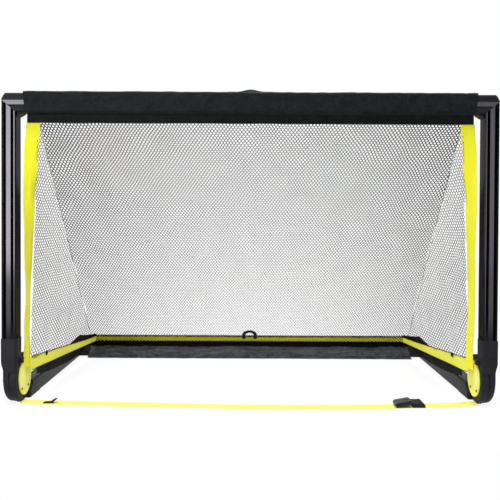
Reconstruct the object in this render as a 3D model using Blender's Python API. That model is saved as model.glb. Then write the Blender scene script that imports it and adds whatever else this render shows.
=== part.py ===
# Folding soccer goal: front frame, base frame, hinge knuckles, sleeves, net, tapes and ground strap.
# Metres, +Z up, +X to the right, +Y from the goal mouth to the back of the net.
# Sizes below count y from the front plane; the origin is on the floor under the middle of the goal.

import math

import bmesh
import bpy
from mathutils import Matrix, Vector

# Frame sizes
FRAME_WIDTH = 1.200
FRAME_HEIGHT = 0.755
BASE_DEPTH = 0.650
BASE_INSET = 0.0105
POST_WIDTH = 0.036
CROSSBAR_HEIGHT = 0.046
RAIL_DEPTH = 0.040
RAIL_WALL = 0.0024
RAIL_CORNER = 0.005
CORNER_STEPS = 3
LAND_WIDTH = 0.011
RIDGE_WIDTH = 0.0055
CHANNEL_DEPTH = 0.0012
CHANNEL_SLOPE = 0.0008
SIDE_GROOVE_WIDTH = 0.003
SIDE_GROOVE_DEPTH = 0.001
CHAMFER_ACROSS = 0.010
CHAMFER_ALONG = 0.0165
INSERT_REACH = 0.095
GUSSET_LENGTH = 0.0145
GUSSET_HEIGHT = 0.0092
GUSSET_SETBACK = 0.006
GUSSET_SCREW_SEAT = 0.0035
GUSSET_SCREW_LENGTH = 0.012

# Hinge knuckles
HINGE_RADIUS = 0.060
FOOT_FLAT = 0.0005
FOOT_SUNK = 0.0012
CHEEK_RADIUS = 0.059
CHEEK_ROUND = 0.0165
CHEEK_DROP = 0.024
DOME_STEPS = 6
DISC_ROUND = 0.004
DISC_INNER_SHIFT = 0.011
SEAM_PLACE = 0.022
SEAM_GAP = 0.0016
CHEEK_INSET = 0.0025
COLLAR_WALL = 0.0012
COLLAR_HEIGHT = 0.163
COLLAR_START = 0.080
COLLAR_TAPER = 0.003
COLLAR_TAPER_LENGTH = 0.006
COLLAR_LIP = 0.001
SOCKET_DEPTH = 0.042
DISC_CLEARANCE = 0.001
DISC_STEPS = 36

# Hinge hardware
BOLT_RADIUS = 0.004
BOLT_HEAD_RADIUS = 0.0085
BOLT_HEAD_HEIGHT = 0.004
BOLT_POCKET_DEPTH = 0.005
NUT_RADIUS = 0.0075
NUT_HEIGHT = 0.005
NUT_POCKET_DEPTH = 0.0065
HARDWARE_CLEARANCE = 0.0006
WASHER_RADIUS = 0.011
WASHER_HEIGHT = 0.0009
CAP_RADIUS = 0.0445
CAP_RIM = 0.004
CAP_HEIGHT = 0.0042
CAP_PLATE = 0.0022
CAP_SCREW_APART = 0.047
CAP_SCREW_DROP = 0.026
SCREW_HEAD_RADIUS = 0.0034
SCREW_HEAD_HEIGHT = 0.0013
SCREW_RADIUS = 0.0014
SCREW_LENGTH = 0.008

# Push buttons
BUTTON_RADIUS = 0.0065
BUTTON_PROUD = 0.0036
BUTTON_BELOW_LIP = 0.0085
BUTTON_FLANGE_RADIUS = 0.009
BUTTON_FLANGE = 0.002
SPRING_RADIUS = 0.005
SPRING_WIRE = 0.0012
SPRING_TURNS = 6
SPRING_POINTS = 10

# Sleeves and handle
SLEEVE_CLOTH = 0.0012
SLEEVE_EASE = 0.003
SLEEVE_SETBACK = 0.055
SLEEVE_END_SLANT = 0.0105
HEM_DROP = 0.024
HEM_CLOTH = 0.003
HEM_PLACE = 0.0215
REAR_SLEEVE_SETBACK = 0.071
REAR_HEM_RISE = 0.014
FLAP_REACH = 0.026
FLAP_CLOTH = 0.0018
HANDLE_LENGTH = 0.110
HANDLE_FLAT = 0.022
HANDLE_RISE = 0.005
HANDLE_WIDTH = 0.025
WEBBING = 0.0015

# Net and tapes
NET_STRAND = 0.0024
NET_THICKNESS = 0.0012
SEAM_SETBACK = 0.089
BACK_COLUMNS = 14
BACK_ROWS = 10
SIDE_COLUMNS = 5
SIDE_ROWS = 7
SIDE_NET_TOP = 0.600
SIDE_NET_TOP_WIDTH = 0.060
REAR_TAPE_HEIGHT = 0.0157
REAR_TAPE_SETBACK = 0.002
TAPE_FRONT_GAP = 0.0125
TAPE_REAR_GAP = 0.002
TAPE_FRONT_TOP = 0.101
TAPE_REAR_TOP = 0.057
TAPE_FRONT_WIDTH = 0.033
TAPE_REAR_WIDTH = 0.016
TAPE_START = 0.070
TAPE_END_SETBACK = 0.0085
FRONT_TAPE_TOP_SETBACK = 0.0145
FRONT_TAPE_TOP_WIDTH = 0.035
FRONT_TAPE_WIDTH = 0.028
FRONT_TAPE_Y = 0.0625
FRONT_TAPE_FOOT = 0.082
FRONT_TAPE_STEPS = 10
PATCH_LENGTH = 0.235
PATCH_RISE = 0.024
PATCH_END_RISE = 0.0085
PATCH_LAP = 0.004
PATCH_PEAK = 0.45
HEM_BUTTON_RADIUS = 0.007
HEM_BUTTON_CROWN = 0.005
HEM_BUTTON_HEIGHT = 0.004
HEM_BUTTON_Y = 0.180
HOOK_REACH = 0.0077
HOOK_WIDTH = 0.015
HOOK_HEIGHT = 0.013
HOOK_Y = 0.0275
HOOK_Z = 0.1065
HOOK_SLOPE = 0.003
LOOP_RADIUS = 0.0225
LOOP_THICKNESS = 0.003
LOOP_LEG = 0.010
LOOP_STAND_OFF = 0.0065
LOOP_STEPS = 8

# Ground strap
STRAP_WIDTH = 0.038
STRAP_MIDDLE_Y = 0.004
STRAP_END_Y = 0.040
STRAP_BEND = 2
STRAP_STEPS = 16
LUG_LENGTH = 0.040
LUG_REACH = 0.0075
LUG_HEIGHT = 0.005
CLIP_SETBACK = 0.0677
CLIP_LENGTH = 0.031
CLIP_DEPTH = 0.012
CLIP_PLATE = 0.003
CLIP_FIN_LENGTH = 0.016
CLIP_FIN_HEIGHT = 0.012
BUCKLE_SETBACK = 0.1592
BUCKLE_LENGTH = 0.030
BUCKLE_HEIGHT = 0.011
BUCKLE_ROUND = 0.008
BUCKLE_LIP = 0.003
BUCKLE_SLOT = 0.006
TAIL_LENGTH = 0.0305
TAIL_GAP = 0.0065
TAIL_RISE = 0.006
TAIL_ROUND = 0.0055
TAIL_STEPS = 5

# Clearances
GAP = 0.0003
CUT = 0.010

# Places worked out from the sizes
MOUTH = -BASE_DEPTH / 2
HINGE = HINGE_RADIUS - FOOT_FLAT
HALF_WIDTH = FRAME_WIDTH / 2
RAIL_INSET = COLLAR_WALL + GAP
RAIL_OUTER = HALF_WIDTH - RAIL_INSET
RAIL_INNER = RAIL_OUTER - POST_WIDTH
RAIL_FRONT = RAIL_INSET
BASE_OUTER = RAIL_OUTER - BASE_INSET
SLEEVE_INSET = SLEEVE_CLOTH + GAP
BAR_TOP = FRAME_HEIGHT
SLEEVE_TOP = BAR_TOP + SLEEVE_EASE + SLEEVE_CLOTH
BAR_BOTTOM = BAR_TOP - CROSSBAR_HEIGHT
REAR_EDGE = BASE_DEPTH - SLEEVE_INSET
REAR_FRONT = REAR_EDGE - CROSSBAR_HEIGHT
COLLAR_WIDTH = POST_WIDTH + 2 * RAIL_INSET
COLLAR_INNER = HALF_WIDTH - COLLAR_WIDTH
COLLAR_DEPTH = RAIL_DEPTH + 2 * RAIL_INSET
SEAT = COLLAR_HEIGHT - SOCKET_DEPTH
SEAM = HALF_WIDTH - SEAM_PLACE
CHEEK_FACE = SEAM + SEAM_GAP
CHEEK_OUTER = HALF_WIDTH - CHEEK_INSET
DISC_INNER = BASE_OUTER + RAIL_INSET - COLLAR_WIDTH + DISC_INNER_SHIFT
HEM_BOTTOM = BAR_BOTTOM - HEM_DROP
REAR_HEM_TOP = RAIL_FRONT + RAIL_DEPTH + SLEEVE_INSET + REAR_HEM_RISE
REAR_TAPE_TOP = REAR_HEM_TOP + GAP + REAR_TAPE_HEIGHT
REAR_HEM_Y = REAR_FRONT + HEM_CLOTH
GUSSET_SCREW_X = RAIL_INNER - GUSSET_LENGTH / 2
STRAP_END = DISC_INNER - LUG_REACH - GAP
SLEEVE_HALF_LENGTH = HALF_WIDTH - SLEEVE_SETBACK
REAR_SLEEVE_HALF_LENGTH = BASE_OUTER - REAR_SLEEVE_SETBACK
SEAM_HALF_WIDTH = HALF_WIDTH - SEAM_SETBACK
REAR_TAPE_HALF_LENGTH = SEAM_HALF_WIDTH - REAR_TAPE_SETBACK
TAPE_X_FRONT = DISC_INNER - TAPE_FRONT_GAP
TAPE_X_REAR = SEAM_HALF_WIDTH + TAPE_REAR_GAP
TAPE_END = REAR_HEM_Y - TAPE_END_SETBACK
FRONT_TAPE_TOP_X = SLEEVE_HALF_LENGTH - FRONT_TAPE_TOP_SETBACK
FRONT_TAPE_FOOT_X = DISC_INNER - CAP_HEIGHT - WEBBING - GAP
CLIP_X = STRAP_END - CLIP_SETBACK
BUCKLE_START = STRAP_END - BUCKLE_SETBACK
TAIL_END = BUCKLE_START - TAIL_GAP
TAIL_START = TAIL_END - TAIL_LENGTH
BUTTON_Z = COLLAR_HEIGHT - BUTTON_BELOW_LIP
BUTTON_Y = RAIL_FRONT + RAIL_DEPTH / 2


def clear_scene():
    for obj in list(bpy.data.objects):
        bpy.data.objects.remove(obj, do_unlink=True)


def make_material(name, colour, roughness, metallic=0.0):
    material = bpy.data.materials.new(name)
    material.use_nodes = True
    shader = material.node_tree.nodes["Principled BSDF"]
    shader.inputs["Base Color"].default_value = (*colour, 1.0)
    shader.inputs["Roughness"].default_value = roughness
    shader.inputs["Metallic"].default_value = metallic
    return material


# Outlines

def rounded_rectangle(low, high, radius, steps=CORNER_STEPS):
    points = []
    corners = ((high[0], high[1], 0), (low[0], high[1], 90), (low[0], low[1], 180), (high[0], low[1], 270))
    for a, b, turn in corners:
        centre_a = a - radius if a == high[0] else a + radius
        centre_b = b - radius if b == high[1] else b + radius
        for step in range(steps + 1):
            angle = math.radians(turn + 90 * step / steps)
            points.append((centre_a + radius * math.cos(angle), centre_b + radius * math.sin(angle)))
    return points


def wide_face(length):
    # Distance along the face and depth below it: ridge, channel, land, channel, ridge.
    land = (length - LAND_WIDTH) / 2
    half = [
        (RIDGE_WIDTH, 0.0),
        (RIDGE_WIDTH + CHANNEL_SLOPE, CHANNEL_DEPTH),
        (land - CHANNEL_SLOPE, CHANNEL_DEPTH),
        (land, 0.0),
    ]
    return half + [(length - along, depth) for along, depth in reversed(half)]


def side_face(length):
    middle = length / 2
    half = SIDE_GROOVE_WIDTH / 2
    return [(middle - half, 0.0), (middle, SIDE_GROOVE_DEPTH), (middle + half, 0.0)]


def rail_outline(width, depth):
    # Counter-clockwise from the first corner, with u across the rail and v through its depth.
    points = []
    sides = (
        ((0, 0), (1, 0), (0, 1), width, wide_face(width)),
        ((width, 0), (0, 1), (-1, 0), depth, side_face(depth)),
        ((width, depth), (-1, 0), (0, -1), width, wide_face(width)),
        ((0, depth), (0, -1), (1, 0), depth, side_face(depth)),
    )
    for start, along, inward, length, face in sides:
        centre = [start[k] + RAIL_CORNER * (along[k] + inward[k]) for k in range(2)]
        for step in range(CORNER_STEPS + 1):
            turn = math.radians(90 * step / CORNER_STEPS)
            back = math.cos(turn)
            out = math.sin(turn)
            points.append(tuple(
                centre[k] - RAIL_CORNER * (along[k] * back + inward[k] * out) for k in range(2)
            ))
        for distance, sunk in face:
            points.append(tuple(start[k] + along[k] * distance + inward[k] * sunk for k in range(2)))
    return points


# Solids

def place(axis, a, b, c):
    # a and b lie in the outline's plane, c along the axis.
    return {"X": (c, a, b), "Y": (a, c, b), "Z": (a, b, c)}[axis]


def loft(rings):
    bm = bmesh.new()
    loops = []
    for ring in rings:
        verts = [bm.verts.new(point) for point in ring]
        edges = [bm.edges.new((verts[i - 1], verts[i])) for i in range(len(verts))]
        loops.append((verts, edges))
    for (_, first), (_, second) in zip(loops, loops[1:]):
        bmesh.ops.bridge_loops(bm, edges=first + second)
    bm.faces.new(loops[0][0])
    bm.faces.new(loops[-1][0])
    bmesh.ops.recalc_face_normals(bm, faces=bm.faces)
    return bm


def prism(outline, axis, low, high):
    return loft([[place(axis, a, b, end) for a, b in outline] for end in (low, high)])


def box(low, high):
    outline = [(low[0], low[1]), (high[0], low[1]), (high[0], high[1]), (low[0], high[1])]
    return prism(outline, "Z", low[2], high[2])


def turned(profile, y, z, steps=DISC_STEPS):
    # A profile of (x, radius) points, turned about the line along X through y and z.
    bm = bmesh.new()
    verts = [bm.verts.new((x, y, z + radius)) for x, radius in profile]
    edges = [bm.edges.new(pair) for pair in zip(verts, verts[1:])]
    bmesh.ops.spin(
        bm, geom=verts + edges, cent=(0, y, z), axis=(1, 0, 0),
        angle=2 * math.pi, steps=steps, use_merge=True,
    )
    bmesh.ops.remove_doubles(bm, verts=bm.verts, dist=0.00001)
    bmesh.ops.recalc_face_normals(bm, faces=bm.faces)
    return bm


def ribbon(stations, thickness):
    # Each station is a middle point, the direction across the ribbon and its width there.
    rings = []
    for i, (middle, across, width) in enumerate(stations):
        before = stations[max(i - 1, 0)][0]
        after = stations[min(i + 1, len(stations) - 1)][0]
        half = Vector(across).normalized() * width / 2
        out = (Vector(after) - Vector(before)).cross(half).normalized() * thickness / 2
        centre = Vector(middle)
        rings.append([centre - half - out, centre + half - out, centre + half + out, centre - half + out])
    return loft(rings)


def strand_lines(cells, length):
    # The edges of all strands across a panel, as shares of its length.
    half = NET_STRAND / 2 / length
    lines = [0.0]
    for cell in range(cells):
        lines += [cell / cells + half, (cell + 1) / cells - half]
    return lines + [1.0]


def net_panel(corners, columns, rows):
    # Corners run first top, second top, second bottom, first bottom.
    first_top, second_top, second_bottom, first_bottom = [Vector(corner) for corner in corners]
    width = ((second_top - first_top).length + (second_bottom - first_bottom).length) / 2
    height = ((first_top - first_bottom).length + (second_top - second_bottom).length) / 2
    bm = bmesh.new()
    lines = []
    for up in strand_lines(rows, height):
        low = first_bottom.lerp(first_top, up)
        high = second_bottom.lerp(second_top, up)
        lines.append([bm.verts.new(low.lerp(high, across)) for across in strand_lines(columns, width)])
    for j, (lower, upper) in enumerate(zip(lines, lines[1:])):
        for i in range(len(lower) - 1):
            if i % 2 == 0 or j % 2 == 0:
                bm.faces.new((lower[i], lower[i + 1], upper[i + 1], upper[i]))
    return bm


def mirrored(bm):
    bmesh.ops.scale(bm, vec=(-1, 1, 1), verts=bm.verts)
    bmesh.ops.reverse_faces(bm, faces=bm.faces)
    return bm


# Objects

def add(name, bm, material=None, origin=(0, 0, 0), parent=None):
    shift = Vector((0, MOUTH, 0))
    bmesh.ops.translate(bm, vec=-Vector(origin), verts=bm.verts)
    mesh = bpy.data.meshes.new(name)
    bm.to_mesh(mesh)
    bm.free()
    mesh.shade_smooth()
    mesh.set_sharp_from_angle(angle=math.radians(35))
    obj = bpy.data.objects.new(name, mesh)
    bpy.context.scene.collection.objects.link(obj)
    obj.location = Vector(origin) + shift
    if parent is not None:
        obj.parent = parent
        obj.location -= parent.location
    if material is not None:
        mesh.materials.append(material)
    return obj


def combine(obj, bm, operation, parent=None):
    # Joins a helper shape to the object or takes it away, as a live Boolean.
    helper = add(obj.name + "_" + operation.lower(), bm, parent=parent)
    helper.hide_render = True
    helper.display_type = "WIRE"
    modifier = obj.modifiers.new(helper.name, "BOOLEAN")
    modifier.operation = operation
    modifier.object = helper
    modifier.solver = "EXACT"


def cut(obj, bm, parent=None):
    combine(obj, bm, "DIFFERENCE", parent)


def join(obj, bm, parent=None):
    combine(obj, bm, "UNION", parent)


def axis_empty(name, y, z, x=0.0):
    empty = bpy.data.objects.new(name, None)
    empty.empty_display_size = 0.05
    bpy.context.scene.collection.objects.link(empty)
    empty.location = (x, MOUTH + y, z)
    return empty


def sided(bm, side):
    return bm if side > 0 else mirrored(bm)


SIDES = ((-1, "left"), (1, "right"))


# Rails

def end_lines(outer, top):
    # The chamfer and the mitre at the right corner of a frame, across and towards its closed side.
    corner = (outer, top - CHAMFER_ALONG)
    chamfer = (-CHAMFER_ACROSS, CHAMFER_ALONG)
    mitre = (-POST_WIDTH, CHAMFER_ALONG - CROSSBAR_HEIGHT)
    return corner, chamfer, mitre


def bar_end_cutter(outer, top, side, axis):
    corner, chamfer, mitre = end_lines(outer, top)
    upper = [corner[k] + 2 * chamfer[k] for k in range(2)]
    lower = [corner[k] + 2 * mitre[k] for k in range(2)]
    far = outer + CUT
    outline = [upper, corner, lower, (far, lower[1]), (far, upper[1])]
    return prism([(side * a, b) for a, b in outline], axis, RAIL_FRONT - CUT, RAIL_FRONT + RAIL_DEPTH + CUT)


def post_end_cutter(outer, top, side, axis):
    corner, _, mitre = end_lines(outer, top)
    gap = GAP * math.hypot(*mitre) / -mitre[0]
    first = [corner[0] - mitre[0], corner[1] - mitre[1] - gap]
    last = [corner[0] + 2 * mitre[0], corner[1] + 2 * mitre[1] - gap]
    far = top + CROSSBAR_HEIGHT
    outline = [first, last, (last[0], far), (first[0], far)]
    return prism([(side * a, b) for a, b in outline], axis, RAIL_FRONT - CUT, RAIL_FRONT + RAIL_DEPTH + CUT)


def hollow(obj, low, high, axis, start, end, parent=None):
    outline = [(low[0], low[1]), (high[0], low[1]), (high[0], high[1]), (low[0], high[1])]
    cut(obj, prism(outline, axis, start - CUT, end + CUT), parent)


def make_crossbar(metal, fold):
    profile = rail_outline(CROSSBAR_HEIGHT, RAIL_DEPTH)
    outline = [(RAIL_FRONT + v, BAR_TOP - u) for u, v in profile]
    obj = add("crossbar", prism(outline, "X", -RAIL_OUTER, RAIL_OUTER), metal, parent=fold)
    low = (RAIL_FRONT + RAIL_WALL, BAR_BOTTOM + RAIL_WALL)
    high = (RAIL_FRONT + RAIL_DEPTH - RAIL_WALL, BAR_TOP - RAIL_WALL)
    hollow(obj, low, high, "X", -RAIL_OUTER, RAIL_OUTER, fold)
    for side, _ in SIDES:
        cut(obj, bar_end_cutter(RAIL_OUTER, BAR_TOP, side, "Y"), fold)
        cut(obj, sided(gusset_screw_hole(SCREW_RADIUS + GAP), side), fold)


def make_post(side, word, metal, fold):
    profile = rail_outline(POST_WIDTH, RAIL_DEPTH)
    outline = [(side * (RAIL_OUTER - u), RAIL_FRONT + v) for u, v in profile]
    obj = add("post_" + word, prism(outline, "Z", SEAT + GAP, BAR_TOP), metal, parent=fold)
    edges = sorted((side * (RAIL_INNER + RAIL_WALL), side * (RAIL_OUTER - RAIL_WALL)))
    low = (edges[0], RAIL_FRONT + RAIL_WALL)
    high = (edges[1], RAIL_FRONT + RAIL_DEPTH - RAIL_WALL)
    hollow(obj, low, high, "Z", SEAT, BAR_TOP, fold)
    cut(obj, post_end_cutter(RAIL_OUTER, BAR_TOP, side, "Y"), fold)
    cut(obj, sided(button_hole(), side), fold)


def make_rear_bar(metal):
    profile = rail_outline(CROSSBAR_HEIGHT, RAIL_DEPTH)
    outline = [(REAR_EDGE - u, RAIL_FRONT + v) for u, v in profile]
    obj = add("rear_bar", prism(outline, "X", -BASE_OUTER, BASE_OUTER), metal)
    low = (REAR_FRONT + RAIL_WALL, RAIL_FRONT + RAIL_WALL)
    high = (REAR_EDGE - RAIL_WALL, RAIL_FRONT + RAIL_DEPTH - RAIL_WALL)
    hollow(obj, low, high, "X", -BASE_OUTER, BASE_OUTER)
    for side, _ in SIDES:
        cut(obj, bar_end_cutter(BASE_OUTER, REAR_EDGE, side, "Z"))


def make_base_rail(side, word, metal):
    profile = rail_outline(POST_WIDTH, RAIL_DEPTH)
    outline = [(side * (BASE_OUTER - u), RAIL_FRONT + v) for u, v in profile]
    obj = add("base_rail_" + word, prism(outline, "Y", SEAT + GAP, REAR_EDGE), metal)
    edges = sorted((side * (BASE_OUTER - POST_WIDTH + RAIL_WALL), side * (BASE_OUTER - RAIL_WALL)))
    low = (edges[0], RAIL_FRONT + RAIL_WALL)
    high = (edges[1], RAIL_FRONT + RAIL_DEPTH - RAIL_WALL)
    hollow(obj, low, high, "Y", SEAT, REAR_EDGE)
    cut(obj, post_end_cutter(BASE_OUTER, REAR_EDGE, side, "Z"))


def make_insert(name, side, outer, top, axis, plastic, parent=None):
    # An elbow that fills the hollows of both rails and shows at the chamfered corner.
    inset = RAIL_WALL + GAP
    slope = CHAMFER_ALONG / CHAMFER_ACROSS
    start = outer - INSERT_REACH
    bottom = top - CROSSBAR_HEIGHT + inset
    outline = [
        (start, bottom),
        (start, top - inset),
        (outer - CHAMFER_ACROSS - inset / slope, top - inset),
        (outer - inset, top - CHAMFER_ALONG - inset * slope),
        (outer - inset, top - INSERT_REACH),
        (outer - POST_WIDTH + inset + 2 * GAP, top - INSERT_REACH),
        (outer - POST_WIDTH + inset + 2 * GAP, bottom),
    ]
    bm = prism(outline, axis, RAIL_FRONT + inset, RAIL_FRONT + RAIL_DEPTH - inset)
    return add(name, sided(bm, side), plastic, parent=parent)


def make_gusset(side, word, plastic, steel, fold):
    corner = (RAIL_INNER - GAP, BAR_BOTTOM - GAP)
    outline = [
        corner,
        (corner[0] - GUSSET_LENGTH, corner[1]),
        (corner[0] - GUSSET_LENGTH, corner[1] - RAIL_WALL),
        (corner[0] - RAIL_WALL, corner[1] - GUSSET_HEIGHT),
        (corner[0], corner[1] - GUSSET_HEIGHT),
    ]
    low = RAIL_FRONT + GUSSET_SETBACK
    bm = prism(outline, "Y", low, RAIL_FRONT + RAIL_DEPTH - GUSSET_SETBACK)
    gusset = add("corner_gusset_" + word, sided(bm, side), plastic, parent=fold)
    cut(gusset, sided(gusset_screw_hole(SCREW_RADIUS + GAP), side), fold)
    head = BAR_BOTTOM - GUSSET_SCREW_SEAT
    pocket_radius = SCREW_HEAD_RADIUS + GAP
    pocket = [(head - CUT, 0), (head - CUT, pocket_radius), (head, pocket_radius), (head, 0)]
    cut(gusset, sided(upright(pocket, GUSSET_SCREW_X), side), fold)
    screw = [
        (head - SCREW_HEAD_HEIGHT - GAP, 0),
        (head - SCREW_HEAD_HEIGHT - GAP, SCREW_HEAD_RADIUS / 2),
        (head - GAP, SCREW_HEAD_RADIUS),
        (head - GAP, SCREW_RADIUS),
        (BAR_BOTTOM + GUSSET_SCREW_LENGTH, SCREW_RADIUS),
        (BAR_BOTTOM + GUSSET_SCREW_LENGTH, 0),
    ]
    add("corner_screw_" + word, sided(upright(screw, GUSSET_SCREW_X), side), steel, parent=fold)


def upright(profile, x):
    # A profile of (z, radius) points, turned about the upright line through x in the middle of the rails.
    bm = turned(profile, 0, 0, 12)
    bmesh.ops.rotate(bm, verts=bm.verts, cent=(0, 0, 0), matrix=Matrix.Rotation(-math.pi / 2, 3, "Y"))
    bmesh.ops.translate(bm, verts=bm.verts, vec=(x, RAIL_FRONT + RAIL_DEPTH / 2, 0))
    return bm


def gusset_screw_hole(radius):
    end = BAR_BOTTOM + GUSSET_SCREW_LENGTH + GAP
    start = BAR_BOTTOM - 2 * CUT
    return upright([(start, 0), (start, radius), (end, radius), (end, 0)], GUSSET_SCREW_X)


# Hinge knuckles, each shape drawn for the right side and mirrored for the left

def collar(axis, outer, sunk=0.0):
    # The sleeve of a knuckle that takes a rail: a short box with a tapered start and a lipped mouth.
    # One that stands on the floor starts sunk below it and is cut flat with its disc.
    stations = (
        (COLLAR_START, COLLAR_TAPER),
        (COLLAR_START + COLLAR_TAPER_LENGTH, 0.0),
        (COLLAR_HEIGHT - COLLAR_LIP, 0.0),
        (COLLAR_HEIGHT, COLLAR_LIP),
    )
    rings = []
    for along, inset in stations:
        low = (outer - COLLAR_WIDTH + inset, inset - sunk)
        high = (outer - inset, COLLAR_DEPTH - inset)
        outline = rounded_rectangle(low, high, RAIL_CORNER)
        rings.append([place(axis, a, b, along) for a, b in outline])
    return loft(rings)


def collar_pocket(axis, outer):
    low = (outer - POST_WIDTH - GAP, RAIL_FRONT - GAP)
    high = (outer + GAP, RAIL_FRONT + RAIL_DEPTH + GAP)
    outline = rounded_rectangle(low, high, RAIL_CORNER)
    return prism(outline, axis, SEAT, COLLAR_HEIGHT + CUT)


def cylinder(low, high, radius, y=HINGE_RADIUS, z=HINGE, steps=DISC_STEPS):
    return turned([(low, 0), (low, radius), (high, radius), (high, 0)], y, z, steps)


def arc(centre, radius, start, end, steps):
    points = []
    for step in range(steps + 1):
        angle = math.radians(start + (end - start) * step / steps)
        points.append((centre[0] + radius * math.cos(angle), centre[1] + radius * math.sin(angle)))
    return points


def button_hole():
    return cylinder(RAIL_OUTER - CUT, HALF_WIDTH + CUT, BUTTON_RADIUS + GAP, BUTTON_Y, BUTTON_Z, 20)


def make_upper_knuckle(side, word, plastic, fold):
    obj = add("upper_knuckle_" + word, sided(collar("Z", HALF_WIDTH), side), plastic, parent=fold)
    nut_end = CHEEK_FACE + NUT_POCKET_DEPTH
    nut_hole = NUT_RADIUS + HARDWARE_CLEARANCE
    cheek = [(nut_end, 0), (nut_end, nut_hole), (CHEEK_FACE, nut_hole), (CHEEK_FACE, CHEEK_RADIUS)]
    for across, along in arc((0, 0), 1, 90, 0, DOME_STEPS):
        x = CHEEK_OUTER - CHEEK_ROUND + CHEEK_ROUND * across
        cheek.append((x, CHEEK_RADIUS - CHEEK_DROP + CHEEK_DROP * along))
    cheek.append((CHEEK_OUTER, 0))
    join(obj, sided(turned(cheek, HINGE_RADIUS, HINGE), side), fold)
    cuts = [
        cylinder(COLLAR_INNER - CUT, CHEEK_FACE - GAP, HINGE_RADIUS + DISC_CLEARANCE),
        collar_pocket("Z", RAIL_OUTER),
        button_hole(),
    ]
    for shape in cuts:
        cut(obj, sided(shape, side), fold)


def make_lower_knuckle(side, word, plastic):
    shell = collar("Y", BASE_OUTER + RAIL_INSET, FOOT_SUNK)
    obj = add("lower_knuckle_" + word, sided(shell, side), plastic)
    cap_clearance = cylinder(DISC_INNER - CUT, DISC_INNER + DISC_ROUND, CAP_RADIUS + GAP, steps=32)
    cut(obj, sided(cap_clearance, side))
    # The disc is turned with its bolt hole and the pocket of the bolt head in it.
    head_end = DISC_INNER + BOLT_POCKET_DEPTH
    head_hole = BOLT_HEAD_RADIUS + HARDWARE_CLEARANCE
    bolt_hole = BOLT_RADIUS + GAP
    disc = [(SEAM, bolt_hole), (SEAM, HINGE_RADIUS)]
    disc += arc((DISC_INNER + DISC_ROUND, HINGE_RADIUS - DISC_ROUND), DISC_ROUND, 90, 180, 4)
    disc += [(DISC_INNER, head_hole), (head_end, head_hole), (head_end, bolt_hole), (SEAM, bolt_hole)]
    lug_low = (DISC_INNER - LUG_REACH, STRAP_END_Y - LUG_LENGTH / 2, -FOOT_SUNK)
    lug_high = (SEAM - DISC_ROUND, STRAP_END_Y + LUG_LENGTH / 2, LUG_HEIGHT)
    join(obj, sided(turned(disc, HINGE_RADIUS, HINGE), side))
    join(obj, sided(box(lug_low, lug_high), side))
    cuts = [
        cylinder(SEAM + GAP, HALF_WIDTH + CUT, CHEEK_RADIUS + DISC_CLEARANCE),
        collar_pocket("Y", BASE_OUTER),
        box((DISC_INNER - 2 * CUT, -CUT, -CUT), (HALF_WIDTH + CUT, COLLAR_HEIGHT + CUT, 0)),
    ]
    screw_hole_end = DISC_INNER + SCREW_LENGTH + GAP
    for y, z in cap_screw_places():
        cuts.append(cylinder(DISC_INNER - CUT, screw_hole_end, SCREW_RADIUS + GAP, y, z, 8))
    for shape in cuts:
        cut(obj, sided(shape, side))


def cap_screw_places():
    z = HINGE - CAP_SCREW_DROP
    return [(HINGE_RADIUS - CAP_SCREW_APART / 2, z), (HINGE_RADIUS + CAP_SCREW_APART / 2, z)]


def make_hinge_hardware(side, word, steel):
    head_end = DISC_INNER + BOLT_POCKET_DEPTH - GAP
    head_start = head_end - BOLT_HEAD_HEIGHT
    nut_end = CHEEK_FACE + NUT_POCKET_DEPTH - GAP
    bolt = [
        (head_start, 0),
        (head_start, BOLT_HEAD_RADIUS - COLLAR_LIP),
        (head_start + COLLAR_LIP, BOLT_HEAD_RADIUS),
        (head_end, BOLT_HEAD_RADIUS),
        (head_end, BOLT_RADIUS),
        (nut_end, BOLT_RADIUS),
        (nut_end, 0),
    ]
    add("hinge_bolt_" + word, sided(turned(bolt, HINGE_RADIUS, HINGE, 16), side), steel)
    nut_start = nut_end - NUT_HEIGHT
    nut = cylinder(nut_start, nut_end, NUT_RADIUS, steps=6)
    ring = add("hinge_nut_" + word, sided(nut, side), steel)
    cut(ring, sided(cylinder(nut_start - CUT, nut_end + CUT, BOLT_RADIUS + GAP, steps=16), side))
    washer_start = SEAM + (SEAM_GAP - WASHER_HEIGHT) / 2
    washer = cylinder(washer_start, washer_start + WASHER_HEIGHT, WASHER_RADIUS, steps=20)
    ring = add("hinge_washer_" + word, sided(washer, side), steel)
    bore = cylinder(washer_start - CUT, washer_start + WASHER_HEIGHT + CUT, BOLT_RADIUS + GAP, steps=16)
    cut(ring, sided(bore, side))


def make_disc_cap(side, word, yellow, steel):
    back = DISC_INNER - GAP
    profile = [
        (back, 0),
        (back, CAP_RADIUS),
        (back - CAP_HEIGHT + COLLAR_LIP, CAP_RADIUS),
        (back - CAP_HEIGHT, CAP_RADIUS - COLLAR_LIP),
        (back - CAP_HEIGHT, CAP_RADIUS - CAP_RIM + COLLAR_LIP),
        (back - CAP_PLATE, CAP_RADIUS - CAP_RIM),
        (back - CAP_PLATE, 0),
    ]
    obj = add("disc_cap_" + word, sided(turned(profile, HINGE_RADIUS, HINGE), side), yellow)
    head = back - CAP_PLATE - GAP
    for number, (y, z) in enumerate(cap_screw_places(), 1):
        cut(obj, sided(cylinder(back - CAP_HEIGHT - CUT, back + CUT, SCREW_RADIUS + GAP, y, z, 8), side))
        screw = [
            (head - SCREW_HEAD_HEIGHT, 0),
            (head - SCREW_HEAD_HEIGHT, SCREW_HEAD_RADIUS / 2),
            (head, SCREW_HEAD_RADIUS),
            (head, SCREW_RADIUS),
            (DISC_INNER + SCREW_LENGTH, SCREW_RADIUS),
            (DISC_INNER + SCREW_LENGTH, 0),
        ]
        name = "cap_screw_" + word + "_" + str(number)
        add(name, sided(turned(screw, y, z, 8), side), steel)


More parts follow.
